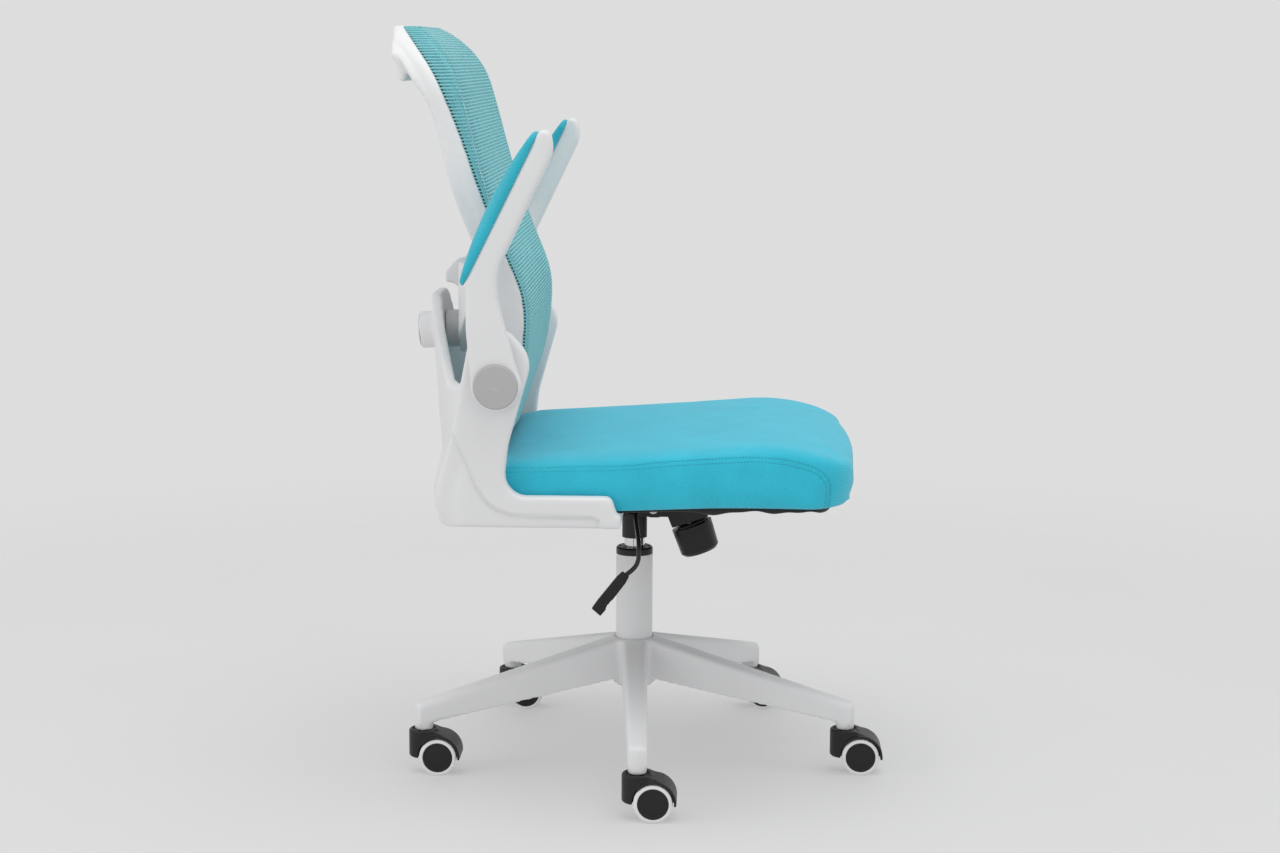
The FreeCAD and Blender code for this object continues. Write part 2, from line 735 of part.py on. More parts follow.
def hex_bolt(x, y, seat_z, end_z):
    points = [(SCREW_R * 1.9 * math.cos(math.pi * k / 3), SCREW_R * 1.9 * math.sin(math.pi * k / 3)) for k in range(6)]
    wire = Part.makePolygon([V(x + u, y + v, seat_z) for u, v in points + points[:1]])
    head = Part.Face(wire).extrude(UP * -4)
    return head.fuse(bar(V(x, y, seat_z - 1), V(x, y, end_z), SCREW_R)).removeSplitter()


def seat_bolts():
    seat_z = -LINER_T - SHEET - FIT
    return seat_placed(Part.makeCompound([hex_bolt(x, y, seat_z, BOARD_T - 3) for x, y in PLATE_HOLES]))


def yoke_bolts():
    bolts = []
    for x, y in YOKE_HOLES:
        bolts.append(hex_bolt(x, y, yoke_counter() - FIT, BOARD_T - 3))
    return seat_placed(Part.makeCompound(bolts))


def yoke_counter():
    return -LINER_T - 6


# Yoke: side brackets, a shell round the rear and a floor under the seat
def yoke_side():
    x = PIVOT_X
    z = PIVOT_Z
    return [(x - 78, YOKE_Z, 35), (-8, YOKE_Z, 3), (-20, YOKE_Z + 40, 10), (x + 5, YOKE_Z + 40, 27),
            (x + 12, z - 79, 80), (x + 43, z + 31, 40), (x + 12, z + 67, 24), (x - 34, z + 67, 24),
            (x - 60, z - 69, 60), (x - 80, z - 139, 50)]


def yoke_crease():
    x = PIVOT_X
    low = YOKE_Z - 30
    return [(x - 140, low, 0), (-20, low, 0), (-34, YOKE_Z + 14, 8), (x + 10, YOKE_Z + 15, 40),
            (x - 28, YOKE_Z + 50, 60), (x - 62, PIVOT_Z - 60, 0), (x - 140, PIVOT_Z - 60, 0)]


def bow_plan(turn, rear, half, middle, corner_r):
    return [(turn + 40, -half, 0), (turn, -half, corner_r), (rear, -middle, 80), (rear, middle, 80),
            (turn, half, corner_r), (turn + 40, half, 0)]


def yoke_shell():
    turn = PIVOT_X - 52
    top = SEAT_Z + UPRIGHT_TOP
    outside = plan_prism(bow_plan(turn, YOKE_REAR, YOKE_OUT, 40, 40), SHELL_Z, top, YOKE_LEAN)
    inside = bow_plan(turn + 9, YOKE_REAR + SHELL_T, YOKE_IN, 37, 30)
    band = outside.cut(plan_prism(inside, SHELL_Z, top, YOKE_LEAN))
    side = YOKE_OUT + 5
    trim = both_sides([(side, YOKE_Z - 5, 0), (side, PIVOT_Z - 4, 0), (YOKE_IN, PIVOT_Z - 4, 40),
                       (UPRIGHT_HALF + 24, top - 40, 50), (UPRIGHT_HALF, top, 16)])
    return band.common(front_prism(trim, YOKE_REAR - 60, 0))


def skirt_plan(inset):
    half = YOKE_OUT - inset
    turn = PIVOT_X - 72 + inset
    rear = YOKE_REAR - SKIRT_BULGE + inset
    return [(-8, -half, 0), (turn, -half, 34 - inset), (rear, 115 - half, 110 - inset),
            (rear, half - 115, 110 - inset), (turn, half, 34 - inset), (-8, half, 0)]


def yoke_skirt():
    knee = YOKE_Z + SKIRT_KNEE
    top = YOKE_Z + SKIRT_H
    foot = plan_prism(skirt_plan(0), YOKE_Z, knee).cut(plan_prism(skirt_plan(SHELL_T), YOKE_Z - 1, knee + 1))
    brow = plan_prism(skirt_plan(0), knee, top, -SKIRT_LEAN)
    brow = brow.cut(plan_prism(skirt_plan(SHELL_T), knee, top, -SKIRT_LEAN))
    return fused([foot, brow]).common(box(YOKE_REAR - 20, PIVOT_X, -YOKE_OUT, YOKE_OUT, YOKE_Z, top))


def heel_trim():
    rear = YOKE_REAR - SKIRT_BULGE - 1
    top = SEAT_Z + UPRIGHT_TOP + 50
    profile = [(rear, YOKE_Z, 30), (10, YOKE_Z, 0), (10, top, 0), (rear - 60, top, 0),
               (rear - 60, YOKE_Z + SKIRT_H + 20, 0), (rear, YOKE_Z + SKIRT_H + 20, 0)]
    return side_prism(profile, -YOKE_OUT - 5, YOKE_OUT + 5)


def yoke_floor():
    bay = SEAT_HALF - 90
    cut = [(20, -bay, 0), (SEAT_BACK + 30, -bay, 40), (SEAT_BACK + 30, bay, 40), (20, bay, 0)]
    return plan_prism(skirt_plan(0), YOKE_Z, SEAT_Z).cut(plan_prism(cut, YOKE_Z - 1, SEAT_Z + 1))


def back_line(x):
    return V(x, 0, BACK_BOSS_Z + (x - YOKE_REAR) * YOKE_LEAN)


def upright_rear(z):
    return YOKE_REAR - YOKE_LEAN * (z - SHELL_Z)


def back_yoke():
    side = side_prism(yoke_side(), YOKE_IN, YOKE_OUT)
    side = side.cut(side_prism(yoke_crease(), YOKE_OUT - 3, YOKE_OUT + 5))
    rear = upright_rear(BACK_BOSS_Z)
    boss = bar(back_line(rear + 4), back_line(rear - 22), BACK_BOSS_R)
    yoke = fused([yoke_shell(), yoke_skirt(), yoke_floor(), side, mirrored(side), boss]).common(heel_trim())
    seat = box(SEAT_BACK - 8, SEAT_FRONT, GAP - YOKE_IN, YOKE_IN - GAP, -LINER_T - GAP, 300)
    heads = [bar(V(x, y, -60), V(x, y, yoke_counter()), SCREW_R * 2 + SLOT) for x, y in YOKE_HOLES]
    cuts = [seat_placed(seat)]
    cuts += [seat_placed(hole) for hole in heads + drills(YOKE_HOLES, SCREW_R + GAP)]
    cuts.append(bar(back_line(rear - 40), back_line(rear + 60), BOLT_R + RUN))
    cuts.append(bar(back_line(rear - 40), back_line(rear - 8), BOLT_R + 4 + SLOT))
    cuts.append(bar(back_line(rear - 40), back_line(rear - 18), BACK_BOSS_R - 3))
    pin = bar(V(PIVOT_X, -ARM_OUT, PIVOT_Z), V(PIVOT_X, ARM_OUT, PIVOT_Z), PIVOT_R + FIT)
    return yoke.cut(cuts + [pin]).removeSplitter()


def back_bolt():
    rear = upright_rear(BACK_BOSS_Z)
    head = bar(back_line(rear - 14), back_line(rear - 8 - FIT), BOLT_R + 4)
    return head.fuse(bar(back_line(rear - 9), back_line(rear + SHELL_T + 24), BOLT_R)).removeSplitter()


def back_cap():
    rear = upright_rear(BACK_BOSS_Z)
    return bar(back_line(rear - 22), back_line(rear - 18 - FIT), BACK_BOSS_R - 3 - GAP)


# Arms, drawn for the left side in the raised position
def arm_outline():
    x = PIVOT_X
    z = PIVOT_Z
    return [(x - 31, z, 0), (x - 37, z + 70, 30), (x - 37, z + 120, 0), (x - 40, z + 125, 0), (x + 54, z + 315, 2),
            (x + 66, z + 317, 9), (x + 71, z + 288, 40), (x + 1, z + 142, 70), (x + 2, z + 105, 60), (x + 31, z, 0)]


def pad_frame():
    lean = math.radians(ARM_LEAN)
    rows = (V(math.sin(lean), 0, math.cos(lean)), LEFT, V(-math.cos(lean), 0, math.sin(lean)))
    return FreeCAD.Placement(V(PIVOT_X - 40, ARM_OUT - PAD_HALF, PIVOT_Z + 125), FreeCAD.Rotation(*rows))


def crowned(start, end, top, place):
    crown = Part.Arc(place(start, PAD_EDGE), place((start + end) / 2, top), place(end, PAD_EDGE)).toShape()
    foot = [place(end, PAD_EDGE), place(end, GAP), place(start, GAP), place(start, PAD_EDGE)]
    return Part.Face(Part.Wire([crown] + Part.makePolygon(foot).Edges))


def arm_pad():
    half = PAD_HALF
    across = crowned(-half - 1, half + 1, PAD_T + 2, lambda u, v: V(-2, u, v)).extrude(FRONT * (PAD_LONG + 4))
    length = crowned(-1, PAD_LONG + 1, PAD_T, lambda u, v: V(u, -half - 3, v)).extrude(LEFT * (2 * half + 6))
    pad = across.common(length)
    plan = [(0, -half, 14), (PAD_LONG, -half, 14), (PAD_LONG, half, 14), (0, half, 14)]
    pad = pad.common(plan_prism(plan, -5, 30))
    pad.Placement = pad_frame()
    return pad


def arm():
    inner = ARM_OUT - 2 * PAD_HALF + 4
    shape = side_prism(arm_outline(), inner, ARM_OUT)
    eye = bar(V(PIVOT_X, inner, PIVOT_Z), V(PIVOT_X, ARM_OUT, PIVOT_Z), EYE_R)
    shape = fused([shape, eye])
    low = PIVOT_Z - 2 * EYE_R
    wedge = [(inner - 9, low, 0), (ARM_IN, low, 0), (ARM_IN, PIVOT_Z + 82, 20), (inner, PIVOT_Z + 140, 0),
             (inner - 9, PIVOT_Z + 140, 0)]
    shape = shape.cut(front_prism(wedge, PIVOT_X - 120, PIVOT_X + 200))
    bore = bar(V(PIVOT_X, 0, PIVOT_Z), V(PIVOT_X, ARM_OUT, PIVOT_Z), PIVOT_R + RUN)
    head = bar(V(PIVOT_X, ARM_OUT - 10, PIVOT_Z), V(PIVOT_X, ARM_OUT, PIVOT_Z), PIVOT_R + 6 + SLOT)
    recess = bar(V(PIVOT_X, ARM_OUT - 4, PIVOT_Z), V(PIVOT_X, ARM_OUT + 1, PIVOT_Z), CAP_R + GAP)
    return shape.cut([bore, head, recess])


def arm_pivot():
    shank = bar(V(PIVOT_X, YOKE_IN + 1, PIVOT_Z), V(PIVOT_X, ARM_OUT - 9, PIVOT_Z), PIVOT_R)
    head = bar(V(PIVOT_X, ARM_OUT - 10 + GAP, PIVOT_Z), V(PIVOT_X, ARM_OUT - 4, PIVOT_Z), PIVOT_R + 6)
    return fused([shank, head])


def arm_cap():
    profile = [(0, GAP), (CAP_R, GAP), (CAP_R, 3), (CAP_R - 2, 4.5), (0, 5)]
    return turned(profile, V(PIVOT_X, ARM_OUT - 4, PIVOT_Z), LEFT, FRONT)


def pair(shape):
    return Part.makeCompound([shape, mirrored(shape)])


# Back: slabs that follow the side curves, cut to the outline
def mesh_x(row, shift):
    return row[1] - shift


def frame_x(row, shift):
    return row[1] - row[2] - shift


def rear_x(row, shift):
    return row[1] - row[2] - row[3] - shift


def curve_edge(line, shift, y):
    curve = Part.BSplineCurve()
    curve.interpolate([V(line(row, shift), y, SEAT_Z + row[0]) for row in BACK_CURVE])
    return curve.toShape()


def back_slab(line0, shift0, line1, shift1, half=300):
    near = curve_edge(line0, shift0, -half)
    far = curve_edge(line1, shift1, -half)
    top = Part.makeLine(near.Vertexes[-1].Point, far.Vertexes[-1].Point)
    foot = Part.makeLine(near.Vertexes[0].Point, far.Vertexes[0].Point)
    wire = Part.Wire(Part.__sortEdges__([near, top, far, foot]))
    return Part.Face(wire).extrude(LEFT * (2 * half))


def back_outline(inset):
    half = [(y, SEAT_Z + h, r) for y, h, r in BACK_HALF]
    face = front_face(both_sides(half), -500)
    if inset:
        face = face.makeOffset2D(-inset)
    return face.extrude(FRONT * 600)


def back_frame():
    opening = back_outline(RAIL_W)
    band = back_slab(frame_x, 0, frame_x, BAND_T).common(back_outline(0)).cut(back_slab(rear_x, 0, rear_x, 80))
    rear = back_slab(frame_x, 2, rear_x, 0).common(back_outline(REAR_INSET))
    frame = fused([band, rear]).cut(opening)
    grip = [(-274, SEAT_Z + 599, 3), (-300, SEAT_Z + 591, 8), (-300, SEAT_Z + 568, 6), (-295, SEAT_Z + 556, 4),
            (-294, SEAT_Z + 538, 4), (-285, SEAT_Z + 537, 3), (-282, SEAT_Z + 562, 8), (-262, SEAT_Z + 574, 0)]
    grip = side_prism(grip, -HANDLE_HALF, HANDLE_HALF).common(back_outline(REAR_INSET))
    grip = grip.cut(back_slab(mesh_x, -60, frame_x, 0))
    frame = fused([frame, grip])
    holes = [bar(V(-260, y, z), V(frame_rear(z) + 10, y, z), SCREW_R) for y, z in bridge_holes()]
    return frame.cut(holes)


def frame_rear(z):
    for low, high in zip(BACK_CURVE, BACK_CURVE[1:]):
        part = (z - SEAT_Z - low[0]) / (high[0] - low[0])
        if 0 <= part <= 1:
            return rear_x(low, 0) + (rear_x(high, 0) - rear_x(low, 0)) * part


def bridge_holes():
    return [(y, SEAT_Z + h) for y in (-194, 194) for h in (258, 282)]


def back_mesh():
    sheet = back_slab(mesh_x, 0, mesh_x, MESH_T).common(back_outline(0))
    rim = back_slab(mesh_x, MESH_T / 2, frame_x, -GAP).common(back_outline(0)).cut(back_outline(RAIL_W / 2))
    return fused([sheet, rim])


def back_bridge():
    z = SEAT_Z
    rear = upright_rear(BACK_BOSS_Z) + SHELL_T + 22
    front = rear + BRIDGE_T
    arch = [(-176, -206, 0), (rear + 30, -150, 60), (rear, -70, 80), (rear, 70, 80), (rear + 30, 150, 60),
            (-176, 206, 0), (-150, 206, 0), (front + 36, 146, 60), (front, 64, 80), (front, -64, 80),
            (front + 36, -146, 60), (-150, -206, 0)]
    body = plan_prism(arch, z + 170, z + 310)
    trim = [(-206, z + 246, 8), (-110, z + 238, 40), (-44, z + 178, 20), (44, z + 178, 20), (110, z + 238, 40),
            (206, z + 246, 8), (206, z + 294, 10), (90, z + 302, 40), (-90, z + 302, 40), (-206, z + 294, 10)]
    body = body.common(front_prism(trim, -400, 0))
    boss = bar(back_line(upright_rear(BACK_BOSS_Z) + SHELL_T + GAP), back_line(front - 2), BACK_BOSS_R)
    body = fused([body, boss])
    bolt = bar(back_line(-300), back_line(front - 4), BOLT_R + RUN)
    slot = box(-400, 0, -LUMBAR_STEM - GAP, LUMBAR_STEM + GAP, z + 248, z + 330)
    ahead = back_slab(mesh_x, -60, rear_x, GAP)
    holes = [bar(V(-300, y, h), V(-100, y, h), SCREW_R + FIT) for y, h in bridge_holes()]
    return body.cut([bolt, slot, ahead] + holes)


def bridge_screws():
    screws = []
    for y, z in bridge_holes():
        face = frame_rear(z)
        shank = bar(V(face - 16, y, z), V(face + 8, y, z), SCREW_R - FIT)
        screws.append(shank)
    return Part.makeCompound(screws)


def lumbar_pad():
    z = SEAT_Z
    deep = MESH_T + LUMBAR_GAP
    outline = [(-122, z + 230, 28), (122, z + 230, 28), (122, z + 304, 28), (-122, z + 304, 28)]
    return back_slab(mesh_x, deep, mesh_x, deep + LUMBAR_T).common(front_prism(outline, -400, 0))


def lumbar_carriage():
    z = SEAT_Z
    face = upright_rear(BACK_BOSS_Z) + SHELL_T + 22 - GAP
    stem = box(face - 6, -120, -LUMBAR_STEM, LUMBAR_STEM, z + 270, z + 290)
    lip = [(face, z + 263, 0), (face, z + 300, 0), (face - 9, z + 298, 4), (face - 20, z + 285, 8),
           (face - 20, z + 271, 2), (face - 10, z + 270, 0)]
    lip = side_prism(lip, -34, 34)
    ahead = back_slab(mesh_x, -60, mesh_x, MESH_T + LUMBAR_GAP + LUMBAR_T + FIT)
    return fused([stem, lip]).cut(ahead)


os.makedirs("parts", exist_ok=True)

stems = []
for number, place in enumerate(caster_places(), 1):
    name = "caster_" + str(number)
    stem = caster_stem()
    stem.translate(place)
    stems.append(stem)
    for piece, shape in (("hood", caster_hood()), ("axle", caster_axle()), ("wheels", caster_wheels()),
                         ("tyres", caster_tyres())):
        shape.translate(place)
        save(name + "_" + piece, shape)
save("caster_stems", Part.makeCompound(stems))
save("star_base", star_base())

save("gas_outer_tube", gas_outer_tube())
save("gas_top_bush", gas_top_bush())
save("gas_thrust_bearing", gas_thrust_bearing())
save("gas_piston_rod", gas_piston_rod())
save("gas_rod_clip", gas_rod_clip())
save("gas_pressure_tube", gas_pressure_tube())
save("gas_release_pin", gas_release_pin())

save("tilt_bracket", tilt_bracket())
save("tilt_axle", tilt_axle())
save("lever_rod", lever_rod())
save("lever_grip", lever_grip())
save("tension_bolt", tension_bolt())
save("tension_spring", tension_spring())
save("tension_knob", tension_knob())

save("seat_plate", seat_plate())
save("seat_board", seat_board())
save("seat_cushion", seat_cushion())
save("seat_liner", seat_liner())
save("seat_bolts", seat_bolts())

save("back_yoke", back_yoke())
save("yoke_bolts", yoke_bolts())
save("back_bolt", back_bolt())
save("back_cap", back_cap())
save("back_frame", back_frame())
save("back_mesh", back_mesh())
save("back_bridge", back_bridge())
save("bridge_screws", bridge_screws())
save("lumbar_pad", lumbar_pad())
save("lumbar_carriage", lumbar_carriage())

save("left_arm", arm())
save("right_arm", mirrored(arm()))
save("left_arm_pad", arm_pad())
save("right_arm_pad", mirrored(arm_pad()))
save("arm_pivots", pair(arm_pivot()))
save("arm_caps", pair(arm_cap()))
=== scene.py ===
import math

import bmesh
import bpy
import numpy as np
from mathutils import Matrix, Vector
from mathutils.bvhtree import BVHTree


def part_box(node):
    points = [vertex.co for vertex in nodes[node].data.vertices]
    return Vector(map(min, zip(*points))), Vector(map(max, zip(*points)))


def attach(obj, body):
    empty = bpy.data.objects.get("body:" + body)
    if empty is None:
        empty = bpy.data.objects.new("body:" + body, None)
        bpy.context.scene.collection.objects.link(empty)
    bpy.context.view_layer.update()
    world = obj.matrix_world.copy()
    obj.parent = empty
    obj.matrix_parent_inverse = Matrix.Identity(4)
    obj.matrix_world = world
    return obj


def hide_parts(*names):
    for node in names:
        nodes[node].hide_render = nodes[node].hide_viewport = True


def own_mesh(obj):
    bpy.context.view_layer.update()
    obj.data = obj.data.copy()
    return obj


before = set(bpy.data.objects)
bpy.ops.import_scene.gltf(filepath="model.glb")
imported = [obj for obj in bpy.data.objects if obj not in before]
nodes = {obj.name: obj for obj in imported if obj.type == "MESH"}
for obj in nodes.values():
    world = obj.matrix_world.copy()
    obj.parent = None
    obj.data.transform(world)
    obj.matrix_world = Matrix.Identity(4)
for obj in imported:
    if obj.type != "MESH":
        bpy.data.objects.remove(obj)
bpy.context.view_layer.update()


# Star base: five tapering arms and the hub, moulded in one in white glass-filled nylon.
# The mould leaves soft edges and a fine grain, and ribs stiffen the open underside.
WHITE = (0.76, 0.763, 0.77, 1)
MOTTLE_SCALE = 9
GLOSS_SCALE = 30
GLOSS_SPREAD = 0.05
PLASTIC_SPECULAR = 0.35
WELD = 0.00001


def blank(name, rough):
    material = bpy.data.materials.new(name)
    material.use_nodes = True
    tree = material.node_tree
    surface = tree.nodes["Principled BSDF"]
    surface.inputs["Roughness"].default_value = rough
    return material, tree, surface


def added(tree, kind, **values):
    node = tree.nodes.new(kind)
    for key, value in values.items():
        if hasattr(node, key):
            setattr(node, key, value)
        else:
            node.inputs[key.replace("_", " ")].default_value = value
    return node


def object_noise(tree, scale, detail=2.0):
    place = added(tree, "ShaderNodeTexCoord")
    cloud = added(tree, "ShaderNodeTexNoise", Scale=scale, Detail=detail)
    tree.links.new(place.outputs["Object"], cloud.inputs["Vector"])
    return cloud.outputs["Fac"]


def tinted(tree, surface, factor, dark, light):
    mix = added(tree, "ShaderNodeMix", data_type="RGBA")
    mix.inputs[6].default_value = dark
    mix.inputs[7].default_value = light
    tree.links.new(factor, mix.inputs[0])
    tree.links.new(mix.outputs[2], surface.inputs["Base Color"])


def raised(tree, surface, height, depth):
    bump = added(tree, "ShaderNodeBump", Distance=depth)
    tree.links.new(height, bump.inputs["Height"])
    tree.links.new(bump.outputs["Normal"], surface.inputs["Normal"])


def shade(colour, by):
    return tuple(min(1, c * by) for c in colour[:3]) + (1,)


def gloss_patches(tree, surface, low, high, scale):
    spread = added(tree, "ShaderNodeMapRange", To_Min=low, To_Max=high)
    tree.links.new(object_noise(tree, scale), spread.inputs["Value"])
    tree.links.new(spread.outputs["Result"], surface.inputs["Roughness"])


def moulded_plastic(name, colour, rough, grain, depth, mottle=0.03):
    material, tree, surface = blank(name, rough)
    cloud = object_noise(tree, MOTTLE_SCALE)
    tinted(tree, surface, cloud, shade(colour, 1 - mottle), shade(colour, 1 + mottle))
    gloss_patches(tree, surface, rough - GLOSS_SPREAD, rough + GLOSS_SPREAD, GLOSS_SCALE)
    surface.inputs["Specular IOR Level"].default_value = PLASTIC_SPECULAR
    raised(tree, surface, object_noise(tree, 1 / grain, detail=1.0), depth)
    return material


white_plastic = moulded_plastic("white_plastic", WHITE, rough=0.42, grain=0.0011, depth=0.00004)


def linked(name, mesh):
    piece = bpy.data.objects.new(name, mesh)
    bpy.context.scene.collection.objects.link(piece)
    return piece


def baked(piece):
    graph = bpy.context.evaluated_depsgraph_get()
    mesh = bpy.data.meshes.new_from_object(piece.evaluated_get(graph))
    piece.modifiers.clear()
    piece.data = mesh
    mesh.shade_smooth()
    return piece


def merged_copy(node, name):
    piece = linked(name, nodes[node].data.copy())
    work = bmesh.new()
    work.from_mesh(piece.data)
    bmesh.ops.remove_doubles(work, verts=work.verts, dist=WELD)
    work.to_mesh(piece.data)
    work.free()
    return piece


def soft_edged(node, name, voxel, rounds):
    piece = merged_copy(node, name)
    skin = piece.modifiers.new("skin", "REMESH")
    skin.mode = "VOXEL"
    skin.voxel_size = voxel
    soften = piece.modifiers.new("soften", "SMOOTH")
    soften.factor = 0.5
    soften.iterations = rounds
    return baked(piece)


def finished(piece, material, body, slot, *replaced):
    piece.data.materials.clear()
    piece.data.materials.append(material)
    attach(piece, body)
    if replaced:
        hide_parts(*replaced)
    return piece


base = soft_edged("star_base", "base_shell", voxel=0.0022, rounds=12)
finished(base, white_plastic, "base", "white_plastic", "star_base")


# Casters: a black nylon hood on an 11 mm steel stem, and two wheels pressed on one axle.
# Each wheel is a black disc in a soft white tyre.
BLACK = (0.009, 0.009, 0.0094, 1)
BLACK_MOTTLE = 0.12
TYRE_WHITE = (0.78, 0.785, 0.79, 1)
CASTERS = 5
WHEEL_GAP_HALF = 0.0065
WHEEL_STEPS = 72
DISC_EASE = 0.0006
TREAD_EASE = 0.002
SPECK = 0.000005


def painted(material, *names):
    for name in names:
        mesh = nodes[name].data
        mesh.materials.clear()
        mesh.materials.append(material)


def turned(work, profile, base, axis, out, steps):
    side = axis.cross(out)
    rings = []
    for k in range(steps):
        angle = 2 * math.pi * k / steps
        ray = out * math.cos(angle) + side * math.sin(angle)
        rings.append([work.verts.new(base + ray * r + axis * h) for r, h in profile])
    for k, ring in enumerate(rings):
        after = rings[(k + 1) % steps]
        for i in range(len(profile) - 1):
            work.faces.new((ring[i], after[i], after[i + 1], ring[i + 1]))


def closed_mesh(name, work):
    bmesh.ops.remove_doubles(work, verts=work.verts, dist=SPECK)
    bmesh.ops.dissolve_degenerate(work, edges=work.edges, dist=SPECK)
    bmesh.ops.recalc_face_normals(work, faces=work.faces)
    mesh = bpy.data.meshes.new(name)
    work.to_mesh(mesh)
    work.free()
    mesh.shade_smooth()
    return linked(name, mesh)


def eased(points, radius, share=0.49, steps=4):
    path = [Vector(points[0])]
    for before, here, after in zip(points, points[1:], points[2:]):
        here = Vector(here)
        back = Vector(before) - here
        ahead = Vector(after) - here
        reach = min(radius, back.length * share, ahead.length * share)
        start = here + back.normalized() * reach
        end = here + ahead.normalized() * reach
        for k in range(steps + 1):
            t = k / steps
            path.append(start * (1 - t) ** 2 + here * 2 * t * (1 - t) + end * t ** 2)
    path.append(Vector(points[-1]))
    return path


def black_moulding(name, rough, grain, depth):
    return moulded_plastic(name, BLACK, rough, grain, depth, BLACK_MOTTLE)


hood_black = black_moulding("hood_black", rough=0.42, grain=0.0009, depth=0.00006)
disc_black = black_moulding("disc_black", rough=0.5, grain=0.0007, depth=0.00008)
tyre_white = moulded_plastic("tyre_white", TYRE_WHITE, rough=0.55, grain=0.002, depth=0.00005)


def zinc_plate(name):
    material, tree, surface = blank(name, 0.35)
    surface.inputs["Metallic"].default_value = 1.0
    tinted(tree, surface, object_noise(tree, 300), (0.50, 0.50, 0.51, 1), (0.62, 0.62, 0.63, 1))
    raised(tree, surface, object_noise(tree, 2500), 0.00002)
    return material


zinc = zinc_plate("zinc")
painted(zinc, "caster_stems")
for number in range(1, CASTERS + 1):
    name = f"caster_{number}"
    hood = soft_edged(f"{name}_hood", f"{name}_cover", voxel=0.0011, rounds=4)
    finished(hood, hood_black, name, "black_plastic", f"{name}_hood")
    low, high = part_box(f"{name}_tyres")
    middle = (Vector(low) + Vector(high)) / 2
    radius = (high[2] - low[2]) / 2
    half = (high[1] - low[1]) / 2
    core_low, core_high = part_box(f"{name}_wheels")
    disc = (core_high[2] - core_low[2]) / 2
    wide = half - WHEEL_GAP_HALF
    inner = half - wide
    face = eased([(0, inner), (disc, inner), (disc, half - 0.0002), (disc - 0.0022, half),
                  (disc - 0.0030, half - 0.0005), (disc * 0.5, half + 0.0004), (0, half + 0.0006)],
                 DISC_EASE)
    tread = eased([(disc, inner), (radius - 0.0005, inner), (radius, half - wide / 2),
                   (radius - 0.0003, half - 0.0018), (radius - 0.002, half - 0.0002),
                   (disc + 0.001, half), (disc, half - 0.001), (disc, inner)], TREAD_EASE)
    discs = bmesh.new()
    tyres = bmesh.new()
    for way in (-1, 1):
        axis = Vector((0, way, 0))
        turned(discs, face, middle, axis, Vector((1, 0, 0)), WHEEL_STEPS)
        turned(tyres, tread, middle, axis, Vector((1, 0, 0)), WHEEL_STEPS)
    pair = f"{name}_pair"
    cores = closed_mesh(f"{name}_discs", discs)
    finished(cores, disc_black, pair, "black_plastic", f"{name}_wheels")
    treads = closed_mesh(f"{name}_treads", tyres)
    finished(treads, tyre_white, pair, "white_tyre", f"{name}_tyres")
    painted(zinc, f"{name}_axle")


# Gas lift: a white painted steel tube in the hub, a black guide bush in its mouth and a
# chromed pressure tube that carries the seat. The rod, bearing and clip are inside.
def chrome_plate(name):
    material, tree, surface = blank(name, 0.08)
    surface.inputs["Metallic"].default_value = 1.0
    tinted(tree, surface, object_noise(tree, 40), (0.70, 0.70, 0.71, 1), (0.78, 0.78, 0.79, 1))
    gloss_patches(tree, surface, 0.06, 0.14, 120)
    return material


chrome = chrome_plate("chrome")
white_paint = moulded_plastic("white_paint", WHITE, rough=0.36, grain=0.0016, depth=0.00003)
black_plastic = black_moulding("black_plastic", rough=0.38, grain=0.0008, depth=0.00005)
painted(white_paint, "gas_outer_tube")
painted(black_plastic, "gas_top_bush")
painted(chrome, "gas_pressure_tube", "gas_piston_rod")
painted(zinc, "gas_thrust_bearing", "gas_rod_clip", "gas_release_pin")


# Tilt mechanism: a folded steel channel on the lift's taper and the plate that rocks on it,
# both powder-coated black, with the tilt axle through their ears.
COAT_BLACK = (0.018, 0.018, 0.019, 1)
STEEL_MOTTLE = 0.15
black_coat = moulded_plastic("black_coat", COAT_BLACK, rough=0.5, grain=0.0005, depth=0.00008,
                             mottle=STEEL_MOTTLE)
painted(black_coat, "tilt_bracket", "seat_plate")
painted(zinc, "tilt_axle", "seat_bolts", "yoke_bolts")


# Height lever: a black steel rod, bent twice, with a moulded paddle pressed on its end.
# The paddle has a finger hollow and a thicker tip.
LEVER_R = 0.003
LEVER_BENDS = [(0.0, 0.006, 0.3573), (0.0, -0.037, 0.3563), (0.012, -0.178, 0.3303),
               (0.012, -0.186, 0.3033), (-0.008, -0.190, 0.2873), (-0.012, -0.190, 0.2820)]
BEND_R = 0.016
ROD_BLACK = (0.02, 0.02, 0.021, 1)


def rod_along(name, path, radius):
    curve = bpy.data.curves.new(name, "CURVE")
    curve.dimensions = "3D"
    curve.bevel_depth = radius
    curve.bevel_resolution = 4
    curve.use_fill_caps = True
    line = curve.splines.new("POLY")
    line.points.add(len(path) - 1)
    for point, place in zip(line.points, path):
        point.co = (*place, 1)
    maker = bpy.data.objects.new(name + "_line", curve)
    bpy.context.scene.collection.objects.link(maker)
    graph = bpy.context.evaluated_depsgraph_get()
    mesh = bpy.data.meshes.new_from_object(maker.evaluated_get(graph))
    bpy.data.objects.remove(maker)
    mesh.shade_smooth()
    return linked(name, mesh)


rod_black = moulded_plastic("rod_black", ROD_BLACK, rough=0.28, grain=0.0006, depth=0.00003,
                            mottle=STEEL_MOTTLE)
rod = rod_along("lever_bar", eased(LEVER_BENDS, BEND_R, share=0.45, steps=6), LEVER_R)
finished(rod, rod_black, "lever", "black_metal", "lever_rod")

